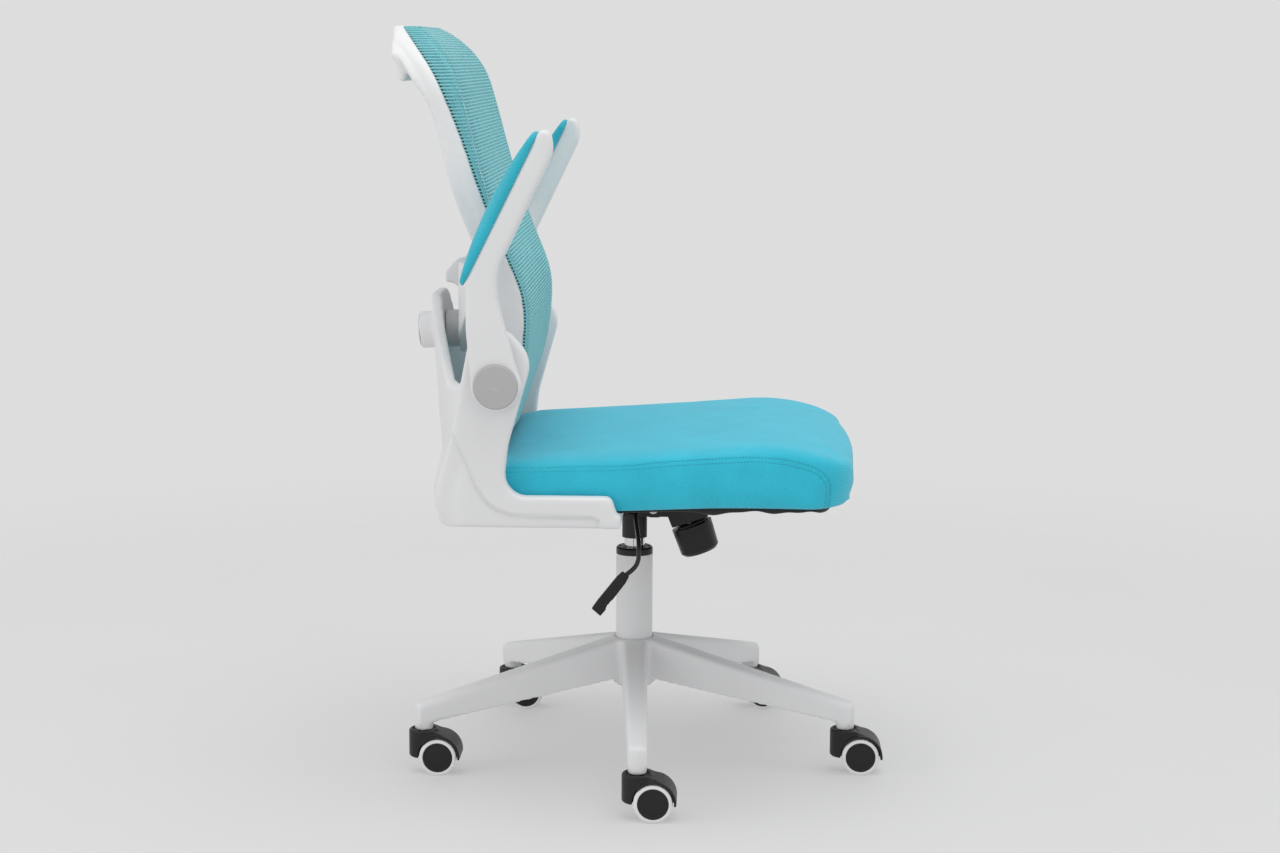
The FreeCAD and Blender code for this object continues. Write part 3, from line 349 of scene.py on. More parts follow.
PADDLE_T = 0.007
PADDLE_EDGE = 0.0014
PADDLE_CORNER = math.radians(25)
PADDLE = [(-6, -5.5), (-6, 5.5), (4, 7.2), (44, 8), (57, 7.4), (58, -7.6), (47, -8.2), (45, -6.4),
          (43, -6.8), (41, -5.6), (39, -6.6), (36, -6.2), (30, -7.2), (4, -7)]
paddle_top = Vector((-0.008, -0.190, 0.2873))
paddle_way = Vector((-38, 0, -50)).normalized()
paddle_up = Vector((0, 1, 0)).cross(paddle_way)
work = bmesh.new()
for half in (-1, 1):
    rim = [work.verts.new(paddle_top + paddle_way * (u / 1000) + paddle_up * (v / 1000)
                          + Vector((0, half * PADDLE_T / 2, 0))) for u, v in PADDLE]
    work.faces.new(rim)
work.verts.ensure_lookup_table()
count = len(PADDLE)
for i in range(count):
    j = (i + 1) % count
    work.faces.new((work.verts[i], work.verts[j], work.verts[count + j], work.verts[count + i]))
paddle = closed_mesh("lever_paddle", work)
edge = paddle.modifiers.new("edge", "BEVEL")
edge.width = PADDLE_EDGE
edge.segments = 3
edge.limit_method = "ANGLE"
edge.angle_limit = PADDLE_CORNER
finished(baked(paddle), black_plastic, "lever", "black_plastic", "lever_grip")


knob_black = black_moulding("knob_black", rough=0.34, grain=0.0008, depth=0.00004)
painted(knob_black, "tension_knob")
painted(zinc, "tension_bolt")
spring = merged_copy("tension_spring", "coil_spring")
spring.data.shade_smooth()
finished(spring, rod_black, "lift", "black_metal", "tension_spring")
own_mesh(spring)


# Seat cushion: moulded foam under a blue knitted cover. The top panel runs over the front,
# and a side panel is sewn to it along a line that drops to the hem at the front corners.
SEAT_Z = 0.383
SEAT_PITCH = math.radians(2.4)
SEAT_FRONT = 0.301
SEAT_BACK = -0.182
SEAT_HALF = 0.245
FRONT_CORNER = 0.060
REAR_CORNER = 0.030
FRONT_BOW, BOW_HALF, BOW_REACH = 0.007, 0.16, (0.05, 0.25)
FRONT_DROOP, DROOP_REACH = 0.006, (0.09, 0.28)
FRONT_TUCK, TUCK_REACH = 0.012, (0.18, 0.29)
LOW_SIDE = (0.0, 0.05)
AROUND = 320
STATIONS = [(34, 0), (6, -0.6), (2.4, 5), (0.5, 15), (0, 28), (0, 38), (0.6, 50), (2.2, 58.5),
            (5, 64), (9.5, 67.5), (16, 69.7), (26, 71.3)]
CROWN = 0.079
CROWN_STEPS = 12
TOP_RISE, RISE_FROM = 0.38, 0.03
NOSE_START = 0.165
NOSE_DROP = 0.38
SWELL = 0.0022
SWELL_FRAMES = 20
HELD_HEIGHT = 0.012
SEAM_RUN = [(-0.130, 0.0595), (-0.013, 0.058), (0.043, 0.0605), (0.100, 0.0625), (0.160, 0.0635),
            (0.199, 0.0600), (0.228, 0.0530), (0.250, 0.0440), (0.264, 0.031), (0.2692, 0.016),
            (0.270, 0.001)]
SEAM_DEEP = 0.0016
SEAM_WIDE = 0.0028
STITCH_PITCH = 0.0042
STITCH_R = 0.0005
STITCH_ASIDE = 0.0030
STITCH_PROUD = 0.0001
BLUE = (0.022, 0.55, 0.73, 1)


def smooth(low, high, value):
    t = min(1, max(0, (value - low) / (high - low)))
    return t * t * (3 - 2 * t)


def lift(x):
    nose = min(1, max(0, (x - NOSE_START) / (SEAT_FRONT - NOSE_START)))
    return (1 - NOSE_DROP * nose ** 2) * (1 + TOP_RISE * (x - RISE_FROM))


def seat_point(x, y, h):
    c, s = math.cos(SEAT_PITCH), math.sin(SEAT_PITCH)
    h *= lift(x)
    x -= FRONT_BOW * min(1, abs(y) / BOW_HALF) ** 2 * smooth(*BOW_REACH, x)
    droop = FRONT_DROOP * smooth(*DROOP_REACH, x) * (1 - smooth(*LOW_SIDE, h))
    x -= FRONT_TUCK * smooth(*TUCK_REACH, x) * (1 - smooth(*LOW_SIDE, h))
    return Vector((x * c - h * s, y, SEAT_Z + x * s + h * c - droop))


def rounded_plan(front, back, half, front_r, rear_r, count):
    corners = [(front - front_r, half - front_r, front_r, 0),
               (back + rear_r, half - rear_r, rear_r, 90),
               (back + rear_r, rear_r - half, rear_r, 180),
               (front - front_r, front_r - half, front_r, 270)]
    dense = []
    for x, y, r, start in corners:
        for k in range(25):
            angle = math.radians(start + 90 * k / 24)
            nx, ny = math.cos(angle), math.sin(angle)
            dense.append((x + r * nx, y + r * ny, nx, ny))
    dense = np.array(dense + dense[:1])
    run = np.concatenate([[0], np.cumsum(np.hypot(*np.diff(dense[:, :2], axis=0).T))])
    at = np.linspace(0, run[-1], count, endpoint=False)
    return np.stack([np.interp(at, run, dense[:, i]) for i in range(4)], axis=1)


seat_plan = rounded_plan(SEAT_FRONT, SEAT_BACK, SEAT_HALF, FRONT_CORNER, REAR_CORNER, AROUND)
seat_middle = ((SEAT_FRONT + SEAT_BACK) / 2 + 0.01, 0.0)


def cushion_rings():
    rings = [[(x - nx * inset / 1000, y - ny * inset / 1000, height / 1000)
              for x, y, nx, ny in seat_plan] for inset, height in STATIONS]
    last = rings[-1]
    for step in range(1, CROWN_STEPS):
        t = step / CROWN_STEPS
        rings.append([(x + (seat_middle[0] - x) * t, y + (seat_middle[1] - y) * t,
                       CROWN + (h - CROWN) * (1 - t) ** 2) for x, y, h in last])
    return rings


def lofted(name, rings, cap_low, cap_high, place):
    work = bmesh.new()
    loops = [[work.verts.new(place(*p)) for p in ring] for ring in rings]
    for low, high in zip(loops, loops[1:]):
        for i in range(len(low)):
            j = (i + 1) % len(low)
            work.faces.new((low[i], low[j], high[j], high[i]))
    for loop, cap in ((loops[0], cap_low), (loops[-1], cap_high)):
        middle = work.verts.new(place(*cap))
        for i in range(len(loop)):
            work.faces.new((loop[i], loop[(i + 1) % len(loop)], middle))
    return closed_mesh(name, work)


def plumped(piece, pressure, cap, held):
    before = [v.co.copy() for v in piece.data.vertices]
    group = piece.vertex_groups.new(name="held")
    for v in piece.data.vertices:
        group.add([v.index], held(v.co), "REPLACE")
    cloth = piece.modifiers.new("cloth", "CLOTH")
    cloth.settings.use_pressure = True
    cloth.settings.uniform_pressure_force = pressure
    cloth.settings.effector_weights.gravity = 0
    cloth.settings.vertex_group_mass = "held"
    cloth.settings.tension_stiffness = 40
    cloth.settings.compression_stiffness = 40
    cloth.settings.bending_stiffness = 4
    cloth.point_cache.frame_start = 1
    cloth.point_cache.frame_end = SWELL_FRAMES
    for number in range(1, SWELL_FRAMES + 1):
        bpy.context.scene.frame_set(number)
    baked(piece)
    bpy.context.scene.frame_set(1)
    piece.vertex_groups.clear()
    for v, old in zip(piece.data.vertices, before):
        move = v.co - old
        if move.length > cap:
            v.co = old + move.normalized() * cap
    return piece


def smooth_run(points, steps):
    points = [Vector(p) for p in points]
    ends = [points[0] * 2 - points[1]] + points + [points[-1] * 2 - points[-2]]
    run = []
    for a, b, c, d in zip(ends, ends[1:], ends[2:], ends[3:]):
        for k in range(steps):
            t = k / steps
            run.append((b * 2 + (c - a) * t + (a * 2 - b * 5 + c * 4 - d) * t ** 2
                        + (b * 3 - a - c * 3 + d) * t ** 3) / 2)
    return run + [points[-1]]


def on_side(x, y, nx, ny, height):
    raw = height / lift(x)
    insets, heights = zip(*STATIONS[1:])
    inset = float(np.interp(raw * 1000, heights, insets)) / 1000
    return seat_point(x - nx * inset, y - ny * inset, raw)


def side_place(x, way):
    turn = math.asin(min(1, max(0, (x - SEAT_FRONT + FRONT_CORNER) / FRONT_CORNER)))
    y = SEAT_HALF - FRONT_CORNER + FRONT_CORNER * math.cos(turn)
    return x, way * y, math.sin(turn), way * math.cos(turn)


def seam_line():
    run = smooth_run(SEAM_RUN, 12)
    left = [on_side(*side_place(x, 1), h) for x, h in reversed(run)]
    rear = [on_side(*p, SEAM_RUN[0][1]) for p in seat_plan if p[0] < SEAM_RUN[0][0]]
    right = [on_side(*side_place(x, -1), h) for x, h in run]
    return left + rear + right


def seat_held(place):
    return 1.0 if place.z < SEAT_Z + HELD_HEIGHT else 0.06


cushion = lofted("seat_pad", cushion_rings(), (seat_middle[0], 0, 0), (seat_middle[0], 0, CROWN),
                 seat_point)
plumped(cushion, pressure=2.0, cap=SWELL, held=seat_held)
finer = cushion.modifiers.new("finer", "SUBSURF")
finer.levels = finer.render_levels = 1
baked(cushion)
seam = seam_line()


def creased(piece, line, deep, wide):
    points = np.array([tuple(p) for p in line])
    normals = [v.normal.copy() for v in piece.data.vertices]
    for v, normal in zip(piece.data.vertices, normals):
        away = float(np.min(np.sum((points - np.array(v.co)) ** 2, axis=1)))
        if away < (4 * wide) ** 2:
            v.co -= normal * (deep * math.exp(-away / wide ** 2))
    piece.data.update()


creased(cushion, seam, SEAM_DEEP, SEAM_WIDE)


def woven_cloth(name, colour, pitch, depth, contrast):
    material, tree, surface = blank(name, 0.85)
    surface.inputs["Sheen Weight"].default_value = 0.25
    surface.inputs["Sheen Roughness"].default_value = 0.5
    place = added(tree, "ShaderNodeTexCoord")
    twill = added(tree, "ShaderNodeTexWave", bands_direction="DIAGONAL", Scale=0.628 / pitch,
                  Distortion=0.5)
    tree.links.new(place.outputs["Object"], twill.inputs["Vector"])
    across = added(tree, "ShaderNodeVectorMath", operation="MULTIPLY")
    across.inputs[1].default_value = (1, -1, -1)
    tree.links.new(place.outputs["Object"], across.inputs[0])
    rows = added(tree, "ShaderNodeTexWave", bands_direction="DIAGONAL", Scale=0.9 / pitch,
                 Distortion=0.5)
    tree.links.new(across.outputs["Vector"], rows.inputs["Vector"])
    weave = added(tree, "ShaderNodeMath", operation="MULTIPLY")
    tree.links.new(twill.outputs["Fac"], weave.inputs[0])
    tree.links.new(rows.outputs["Fac"], weave.inputs[1])
    uneven = added(tree, "ShaderNodeMath", operation="MULTIPLY_ADD")
    uneven.inputs[1].default_value = 0.6
    tree.links.new(weave.outputs[0], uneven.inputs[0])
    fade = added(tree, "ShaderNodeMapRange", To_Min=0.0, To_Max=0.4)
    tree.links.new(object_noise(tree, 25), fade.inputs["Value"])
    tree.links.new(fade.outputs["Result"], uneven.inputs[2])
    tinted(tree, surface, uneven.outputs[0], shade(colour, 1 - contrast),
           shade(colour, 1 + contrast))
    raised(tree, surface, weave.outputs[0], depth)
    return material


blue_knit = woven_cloth("blue_knit", BLUE, pitch=0.0040, depth=0.0004, contrast=0.26)
finished(cushion, blue_knit, "seat", "blue_fabric", "seat_cushion")


def node_group(name, **inputs):
    tree = bpy.data.node_groups.new(name, "GeometryNodeTree")
    tree.interface.new_socket("Geometry", in_out="INPUT", socket_type="NodeSocketGeometry")
    for key, value in inputs.items():
        kind = "NodeSocketMaterial" if isinstance(value, bpy.types.Material) else "NodeSocketFloat"
        tree.interface.new_socket(key, in_out="INPUT", socket_type=kind)
    tree.interface.new_socket("Geometry", in_out="OUTPUT", socket_type="NodeSocketGeometry")
    return tree, tree.nodes.new("NodeGroupInput"), tree.nodes.new("NodeGroupOutput")


def grown(piece, tree, **values):
    maker = piece.modifiers.new(tree.name, "NODES")
    maker.node_group = tree
    for item in tree.interface.items_tree:
        if item.in_out == "INPUT" and item.name in values:
            maker[item.identifier] = values[item.name]
    return baked(piece)


def closing(tree, made, start, finish, end):
    real = added(tree, "GeometryNodeRealizeInstances")
    tree.links.new(made, real.inputs["Geometry"])
    dressed = added(tree, "GeometryNodeSetMaterial")
    tree.links.new(real.outputs["Geometry"], dressed.inputs["Geometry"])
    tree.links.new(start.outputs[finish], dressed.inputs["Material"])
    tree.links.new(dressed.outputs["Geometry"], end.inputs["Geometry"])
    return tree


def stitch_tree(**values):
    tree, start, end = node_group("stitches", **values)
    line = added(tree, "GeometryNodeMeshToCurve")
    tree.links.new(start.outputs["Geometry"], line.inputs["Mesh"])
    spaced = added(tree, "GeometryNodeResampleCurve")
    spaced.mode = "LENGTH"
    tree.links.new(line.outputs["Curve"], spaced.inputs["Curve"])
    tree.links.new(start.outputs["pitch"], spaced.inputs["Length"])
    thread = added(tree, "GeometryNodeMeshUVSphere", Segments=6, Rings=4)
    tree.links.new(start.outputs["radius"], thread.inputs["Radius"])
    along = added(tree, "GeometryNodeInputTangent")
    turn = added(tree, "FunctionNodeAlignRotationToVector", axis="Z")
    tree.links.new(along.outputs["Tangent"], turn.inputs["Vector"])
    place = added(tree, "GeometryNodeInstanceOnPoints")
    place.inputs["Scale"].default_value = (1.0, 1.0, 3.0)
    tree.links.new(spaced.outputs["Curve"], place.inputs["Points"])
    tree.links.new(thread.outputs["Mesh"], place.inputs["Instance"])
    tree.links.new(turn.outputs["Rotation"], place.inputs["Rotation"])
    return closing(tree, place.outputs["Instances"], start, "thread", end)


def line_mesh(name, lines):
    points = []
    edges = []
    for line in lines:
        edges += [(len(points) + i, len(points) + i + 1) for i in range(len(line) - 1)]
        points += [tuple(p) for p in line]
    mesh = bpy.data.meshes.new(name)
    mesh.from_pydata(points, edges, [])
    return linked(name, mesh)


def beside(surface, line, aside, proud):
    row = []
    for i, point in enumerate(line):
        along = line[min(i + 1, len(line) - 1)] - line[max(i - 1, 0)]
        _, normal, _, _ = surface.find_nearest(point)
        across = along.cross(normal).normalized()
        spot, normal, _, _ = surface.find_nearest(point + across * aside)
        row.append(spot + normal * proud)
    return row


def ray_tree(mesh):
    return BVHTree.FromPolygons([v.co for v in mesh.vertices], [p.vertices for p in mesh.polygons])


cover = ray_tree(cushion.data)
blue_thread = woven_cloth("blue_thread", shade(BLUE, 0.62), pitch=0.0008, depth=0.0001,
                          contrast=0.2)
stitches = line_mesh("seat_stitches", [beside(cover, seam, way * STITCH_ASIDE, STITCH_PROUD)
                                       for way in (1, -1)])
sewing = {"pitch": STITCH_PITCH, "radius": STITCH_R, "thread": blue_thread}
grown(stitches, stitch_tree(**sewing), **sewing)
finished(stitches, blue_thread, "seat", "blue_fabric")


# Seat board: plywood under the foam, with the bolts' nuts in it. The cover is pulled round
# its edge and stapled below, so cloth is all that shows of it.
painted(blue_knit, "seat_board")


# Dust liner: black felt stapled under the seat board, to close the underside of the seat.
# Its loose edge ripples along the front.
LINER_INSET = 0.009
LINER_FRONT = 0.024
LINER_EDGE = [(0.030, 0.0005), (0.002, 0.0005), (0.0, -0.0012), (0.004, -0.0024), (0.010, -0.0020),
              (0.022, -0.0012)]
HANGING = slice(2, 5)
RIPPLE = 0.0032
WAVES = [(1.0, 0.41, 0.0), (0.7, 0.23, 1.3), (0.5, 0.87, 0.4)]
LOOSE_REACH = (0.03, 0.10)
FELT = (0.016, 0.016, 0.017, 1)
felt_black = woven_cloth("felt_black", FELT, pitch=0.0011, depth=0.0002, contrast=0.3)


def liner_rings():
    plan = rounded_plan(SEAT_FRONT - LINER_FRONT, SEAT_BACK + LINER_INSET, SEAT_HALF - LINER_INSET,
                        FRONT_CORNER - LINER_INSET, REAR_CORNER - LINER_INSET, AROUND)
    hanging = LINER_EDGE[HANGING]
    rings = []
    for inset, height in LINER_EDGE:
        ring = []
        for i, (x, y, nx, ny) in enumerate(plan):
            sag = 0
            if (inset, height) in hanging:
                wave = sum(size * math.sin(i * pace + start) for size, pace, start in WAVES)
                sag = RIPPLE * smooth(*LOOSE_REACH, x) * (0.9 + 0.5 * wave)
            ring.append((x - nx * inset, y - ny * inset, height - max(0, sag)))
        rings.append(ring)
    return rings


liner = lofted("liner_cloth", liner_rings(), (seat_middle[0], 0, -0.0003),
               (seat_middle[0], 0, -0.0009), seat_point)
finished(liner, felt_black, "seat", "black_liner", "seat_liner")


# Back yoke: one white moulding that cradles the seat, carries the arms and rises to the
# boss that holds the back. A crease runs from the arm pivot down along the seat.
CREASE = [(-0.300, 0.560), (-0.224, 0.494), (-0.212, 0.469), (-0.200, 0.446), (-0.190, 0.420),
          (-0.178, 0.401), (-0.164, 0.390), (-0.143, 0.383), (-0.116, 0.382), (-0.043, 0.381),
          (-0.035, 0.377), (-0.032, 0.360)]
CREASE_DEEP, CREASE_EDGE = 0.0034, (-0.0012, 0.0022)
CREASE_CUT, CUT_AT, CUT_WIDE = 0.0014, 0.0015, 0.0022
FLANK, FLANK_EASE = 0.262, 0.006
GREY = (0.45, 0.45, 0.45, 1)


def below_crease(x, z):
    best = None
    for (ax, az), (bx, bz) in zip(CREASE, CREASE[1:]):
        dx, dz = bx - ax, bz - az
        t = min(1, max(0, ((x - ax) * dx + (z - az) * dz) / (dx * dx + dz * dz)))
        away = math.hypot(x - ax - dx * t, z - az - dz * t)
        side = dx * (z - az) - dz * (x - ax)
        if best is None or away < abs(best) - 1e-9:
            best = away if side < 0 else -away
    return best


yoke = soft_edged("back_yoke", "yoke_shell", voxel=0.0027, rounds=9)
for v in yoke.data.vertices:
    if abs(v.co.y) > FLANK:
        below = below_crease(v.co.x, v.co.z)
        cut = CREASE_CUT * math.exp(-((below - CUT_AT) / CUT_WIDE) ** 2)
        deep = CREASE_DEEP * smooth(*CREASE_EDGE, below) + cut
        v.co.y -= math.copysign(deep * smooth(FLANK, FLANK + FLANK_EASE, abs(v.co.y)), v.co.y)
finished(yoke, white_plastic, "seat", "white_plastic", "back_yoke")
grey_plastic = moulded_plastic("grey_plastic", GREY, rough=0.4, grain=0.0006, depth=0.00003,
                               mottle=0.05)
painted(grey_plastic, "back_cap")
painted(zinc, "back_bolt", "bridge_screws", "arm_pivots")


# Back frame: a white moulded ring with a finger grip across its top, and the bridge
# screwed across it that takes the back bolt.
TOP_FULL = 0.006
TOP_REACH = (0.935, 0.970)
REAR_FACING = (0.1, 0.7)
ring = soft_edged("back_frame", "frame_ring", voxel=0.0022, rounds=18)
faced = [(v, v.normal.x) for v in ring.data.vertices]
for v, ahead in faced:
    v.co.x -= TOP_FULL * smooth(*TOP_REACH, v.co.z) * smooth(*REAR_FACING, -ahead)
ring.data.update()
finished(ring, white_plastic, "seat", "white_plastic", "back_frame")
bridge = soft_edged("back_bridge", "bridge_shell", voxel=0.0018, rounds=6)
finished(bridge, white_plastic, "seat", "white_plastic", "back_bridge")


# Lumbar support: a curved white plastic pad behind the mesh, on a moulded carriage that
# slides up and down in the bridge. A finger lip stands out behind.
lumbar = soft_edged("lumbar_pad", "lumbar_shell", voxel=0.0016, rounds=8)
finished(lumbar, white_plastic, "lumbar", "white_plastic", "lumbar_pad")
carriage = soft_edged("lumbar_carriage", "lumbar_slider", voxel=0.0014, rounds=24)
finished(carriage, white_plastic, "lumbar", "white_plastic", "lumbar_carriage")


# Back mesh: a knitted net with level ribs, stretched over a rim and tucked into the groove
# between the rim and the frame. Ribs and upright threads are real strands.
RIB_PITCH = 0.0044
RIB_R = 0.0012
THREAD_R = 0.0003
ROUND_R = 0.010
ROUND_STEPS = 9
RIM_GAP = 0.0004
SHEET_LEAST = 0.004
END_INSET = 0.0012
THREADS = 130
GROOVE = 0.0032
HEM_T = 0.0008
HEM_STEPS = 6
TEAL = (0.22, 0.60, 0.645, 1)
# GROOVE_SHADE_COLOUR is painted shade: the colour of the groove's shadow, not of any part.
GROOVE_SHADE_COLOUR = (0.02, 0.035, 0.037, 1)

sheet_tree = ray_tree(nodes["back_mesh"].data)
mesh_low, mesh_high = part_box("back_mesh")


def front_of(y, z):
    spot, _, _, _ = sheet_tree.ray_cast(Vector((0.5, y, z)), Vector((-1, 0, 0)))
    return spot


def edge_of(z):
    inside, outside = 0.0, 0.30
    for _ in range(14):
        middle = (inside + outside) / 2
        if front_of(middle, z):
            inside = middle
        else:
            outside = middle
    return inside


def depth_at(y, z, front):
    spot, _, _, _ = sheet_tree.ray_cast(Vector((-0.5, y, z)), Vector((1, 0, 0)))
    return front - spot.x


def rib_levels():
    steps = np.linspace(mesh_low[2] + END_INSET, mesh_high[2] - END_INSET, 900)
    line = np.array([(front_of(0, z).x, z) for z in steps])
    run = np.concatenate([[0], np.cumsum(np.hypot(*np.diff(line, axis=0).T))])
    at = np.arange(RIB_PITCH / 2, run[-1], RIB_PITCH)
    return np.interp(at, run, line[:, 1])


def edge_path(z):
    front = front_of(0, z).x - RIB_R
    side = edge_of(z) - RIM_GAP - RIB_R
    deep = max(SHEET_LEAST, depth_at(side - 0.002, z, front + RIB_R))
    bend = min(ROUND_R, deep * 0.8, side * 0.5)
    path = [(Vector((front - deep, side, z)), Vector((0, 1, 0)))]
    for turn in np.linspace(0, math.pi / 2, ROUND_STEPS):
        out = Vector((math.sin(turn), math.cos(turn), 0))
        path.append((Vector((front - bend, side - bend, z)) + out * bend, out))
    return path


def run_of(path):
    return np.concatenate([[0], np.cumsum(np.linalg.norm(np.diff(path, axis=0), axis=1))])


def rib_path(z, count):
    right = [tuple(spot) for spot, _ in edge_path(z)]
    path = np.array([(x, -y, h) for x, y, h in right] + right[::-1])
    run = run_of(path)
    at = np.linspace(0, run[-1], count)
    return [Vector([np.interp(d, run, path[:, i]) for i in range(3)]) for d in at]


def strand_tree(**values):
    tree, start, end = node_group("strands", **values)
    line = added(tree, "GeometryNodeMeshToCurve")
    tree.links.new(start.outputs["Geometry"], line.inputs["Mesh"])
    section = added(tree, "GeometryNodeCurvePrimitiveCircle", Resolution=5)
    tree.links.new(start.outputs["radius"], section.inputs["Radius"])
    tube = added(tree, "GeometryNodeCurveToMesh")
    tube.inputs["Fill Caps"].default_value = True
    tree.links.new(line.outputs["Curve"], tube.inputs["Curve"])
    tree.links.new(section.outputs["Curve"], tube.inputs["Profile Curve"])
    return closing(tree, tube.outputs["Mesh"], start, "yarn", end)


teal_yarn = woven_cloth("teal_yarn", TEAL, pitch=0.0009, depth=0.00008, contrast=0.12)
levels = rib_levels()
net = [rib_path(z, THREADS) for z in levels]
level_rows = [row[::3] + row[-1:] for row in net]
upright = [[row[k] for row in net[::2]] for k in range(1, THREADS - 1)]
strands = strand_tree(radius=RIB_R, yarn=teal_yarn)
ribs = grown(line_mesh("mesh_ribs", level_rows), strands, radius=RIB_R, yarn=teal_yarn)
threads = grown(line_mesh("mesh_threads", upright), strands, radius=THREAD_R, yarn=teal_yarn)
finished(ribs, teal_yarn, "seat", "teal_mesh", "back_mesh")
finished(threads, teal_yarn, "seat", "teal_mesh")


def edge_band(name, start, stop):
    work = bmesh.new()
    for way in (-1, 1):
        loops = []
        for z in levels:
            path = edge_path(z)
            spots = np.array([tuple(spot) for spot, _ in path])
            outs = np.array([tuple(out) for _, out in path])
            run = run_of(spots)
            at = np.linspace(start, min(stop, run[-1]), HEM_STEPS)
            outer = np.stack([np.interp(at, run, spots[:, i]) for i in range(3)], axis=1)
            out = np.stack([np.interp(at, run, outs[:, i]) for i in range(3)], axis=1)
            skin = np.concatenate([outer - out * RIB_R, (outer - out * (RIB_R + HEM_T))[::-1]])
            loops.append([work.verts.new((x, way * y, h)) for x, y, h in skin])
        for low, high in zip(loops, loops[1:]):
            for i in range(len(low)):
                j = (i + 1) % len(low)
                work.faces.new((low[i], low[j], high[j], high[i]))
        work.faces.new(loops[0])
        work.faces.new(loops[-1])
    return closed_mesh(name, work)


# The near-black band laid in the groove is painted shade for the shadow inside the groove where
# the mesh is tucked in.
painted_groove_shade = moulded_plastic("painted_groove_shade", GROOVE_SHADE_COLOUR, rough=0.7, grain=0.0006, depth=0.00005,
                              mottle=0.15)
finished(edge_band("mesh_groove", 0.0, GROOVE), painted_groove_shade, "seat", "teal_mesh")
finished(edge_band("mesh_hem", GROOVE, math.inf), teal_yarn, "seat", "teal_mesh")


# Arms: white mouldings with a fabric-covered pad on top, shown folded up. A grey cap covers
# each pivot bolt.
# SHADED_ARM_BLUE is the seat's blue darkened. The pads wear the same cloth as the seat, so the
# difference is painted shade.
SHADED_ARM_BLUE = (0.022, 0.50, 0.64, 1)
PAD_FULL = 0.0016
painted(grey_plastic, "arm_caps")


def fuller(piece, by):
    normals = [v.normal.copy() for v in piece.data.vertices]
    for v, normal in zip(piece.data.vertices, normals):
        v.co += normal * by
    piece.data.update()
    return piece


shaded_arm_cloth = woven_cloth("shaded_arm_cloth", SHADED_ARM_BLUE, pitch=0.0040, depth=0.0004, contrast=0.26)
for side in ("left", "right"):
    body = f"{side}_armrest"
    arm = soft_edged(f"{side}_arm", f"{side}_arm_shell", voxel=0.0020, rounds=30)
    finished(arm, white_plastic, body, "white_plastic", f"{side}_arm")
    pad = fuller(soft_edged(f"{side}_arm_pad", f"{side}_pad", voxel=0.0022, rounds=8), PAD_FULL)
    finished(pad, shaded_arm_cloth, body, "arm_fabric", f"{side}_arm_pad")


# Studio: a pale floor that fades into the backdrop, a broad light overhead, and soft fill
# from the camera's side and from behind the back.
FLOOR_R = 5.0
FADE_FROM, FADE_TO = 0.9, 2.6
FLOOR_GLOW = 0.30
FLOOR_DARK, FLOOR_LIGHT = (0.39, 0.39, 0.392, 1), (0.41, 0.41, 0.412, 1)
PALE = (0.725, 0.725, 0.73, 1)
AMBIENT = 0.72


def floor_finish():
    material, tree, surface = blank("pale_floor", 0.7)
    surface.inputs["Specular IOR Level"].default_value = 0.15
    tinted(tree, surface, object_noise(tree, 3, detail=5), FLOOR_DARK, FLOOR_LIGHT)
    surface.inputs["Emission Color"].default_value = (1, 1, 1, 1)
    surface.inputs["Emission Strength"].default_value = FLOOR_GLOW
    place = added(tree, "ShaderNodeTexCoord")
    away = added(tree, "ShaderNodeVectorMath", operation="LENGTH")
    tree.links.new(place.outputs["Object"], away.inputs[0])
    fade = added(tree, "ShaderNodeMapRange", From_Min=FADE_FROM, From_Max=FADE_TO, To_Min=0.0,
                 To_Max=1.0)
    fade.interpolation_type = "SMOOTHERSTEP"
    tree.links.new(away.outputs["Value"], fade.inputs["Value"])
    clear = added(tree, "ShaderNodeBsdfTransparent")
    mix = added(tree, "ShaderNodeMixShader")
    tree.links.new(fade.outputs["Result"], mix.inputs[0])
    tree.links.new(surface.outputs["BSDF"], mix.inputs[1])
    tree.links.new(clear.outputs["BSDF"], mix.inputs[2])
    tree.links.new(mix.outputs["Shader"], tree.nodes["Material Output"].inputs["Surface"])
    return material


work = bmesh.new()
bmesh.ops.create_circle(work, cap_ends=True, radius=FLOOR_R, segments=128)
mesh = bpy.data.meshes.new("floor")
work.to_mesh(mesh)
work.free()
floor = linked("floor", mesh)
floor.data.materials.append(floor_finish())


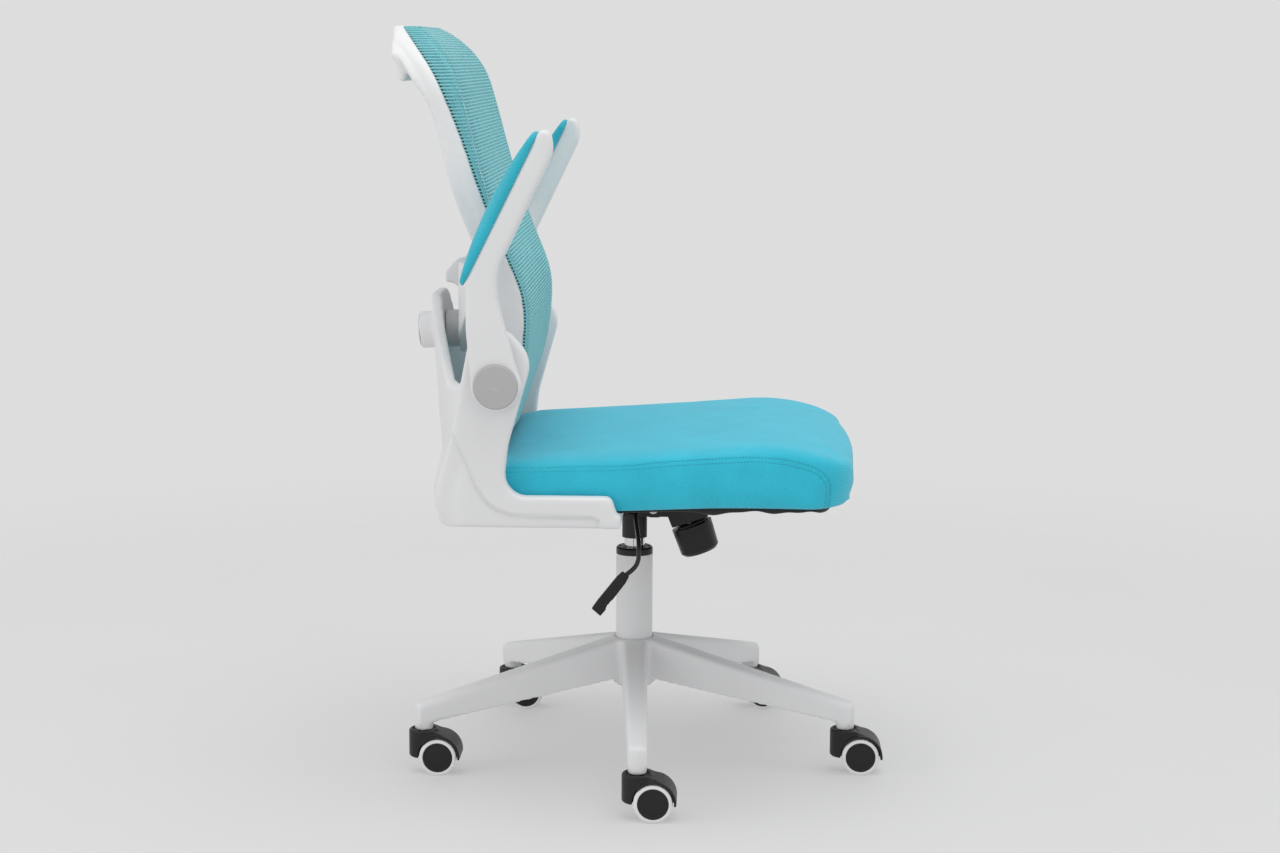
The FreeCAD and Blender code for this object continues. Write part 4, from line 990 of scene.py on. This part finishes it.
def backdrop(seen, light):
    world = bpy.data.worlds.new("studio")
    bpy.context.scene.world = world
    world.use_nodes = True
    tree = world.node_tree
    ambient = tree.nodes["Background"]
    ambient.inputs["Color"].default_value = (1, 1, 1, 1)
    ambient.inputs["Strength"].default_value = light
    shown = added(tree, "ShaderNodeBackground")
    shown.inputs["Color"].default_value = seen
    path = added(tree, "ShaderNodeLightPath")
    direct = added(tree, "ShaderNodeMath", operation="MAXIMUM")
    tree.links.new(path.outputs["Is Camera Ray"], direct.inputs[0])
    tree.links.new(path.outputs["Is Glossy Ray"], direct.inputs[1])
    any_way = added(tree, "ShaderNodeMath", operation="MAXIMUM")
    tree.links.new(direct.outputs[0], any_way.inputs[0])
    tree.links.new(path.outputs["Is Transmission Ray"], any_way.inputs[1])
    mix = added(tree, "ShaderNodeMixShader")
    tree.links.new(any_way.outputs[0], mix.inputs[0])
    tree.links.new(ambient.outputs["Background"], mix.inputs[1])
    tree.links.new(shown.outputs["Background"], mix.inputs[2])
    tree.links.new(mix.outputs["Shader"], tree.nodes["World Output"].inputs["Surface"])


backdrop(PALE, AMBIENT)


def soft_light(name, place, target, size, power):
    lamp = bpy.data.lights.new(name, "AREA")
    lamp.shape = "DISK"
    lamp.size = size
    lamp.energy = power
    holder = bpy.data.objects.new(name, lamp)
    bpy.context.scene.collection.objects.link(holder)
    holder.location = place
    holder.rotation_euler = (Vector(target) - Vector(place)).to_track_quat("-Z", "Y").to_euler()


soft_light("overhead", (0.3, -0.4, 3.2), (0, 0, 0.4), size=3.0, power=36)
soft_light("camera_fill", (1.6, -3.4, 1.8), (0, 0, 0.5), size=2.4, power=5)
soft_light("gap_fill", (-1.3, -3.0, 0.9), (-0.2, 0, 0.6), size=0.8, power=2.5)
soft_light("rear_fill", (-2.6, -1.2, 1.3), (-0.2, 0, 0.6), size=2.0, power=10)


# Camera: at the photograph's place and angle, which were found from the usual sizes of the
# gas lift and the casters.
PHOTO_WIDE = 1280
FOCAL_PIXELS = 2429.5
CAMERA_AT = Vector((0.1172, -3.2632, 0.9551))
PITCH, YAW, ROLL = (math.radians(a) for a in (8.69, 1.94, 0.29))

look = Vector((-math.sin(YAW) * math.cos(PITCH), math.cos(YAW) * math.cos(PITCH),
               -math.sin(PITCH)))
lens = bpy.data.cameras.new("photo_camera")
lens.sensor_fit = "HORIZONTAL"
lens.sensor_width = 36
lens.lens = FOCAL_PIXELS * lens.sensor_width / PHOTO_WIDE
camera = bpy.data.objects.new("photo_camera", lens)
bpy.context.scene.collection.objects.link(camera)
right = look.cross(Vector((0, 0, 1))).normalized()
up = right.cross(look)
level, plumb = right, up
right = level * math.cos(ROLL) + plumb * math.sin(ROLL)
up = plumb * math.cos(ROLL) - level * math.sin(ROLL)
turn = camera.matrix_world.copy()
for row in range(3):
    for column, way in enumerate((right, up, -look, CAMERA_AT)):
        turn[row][column] = way[row]
camera.matrix_world = turn
bpy.context.scene.camera = camera
bpy.context.scene.view_settings.view_transform = "Standard"
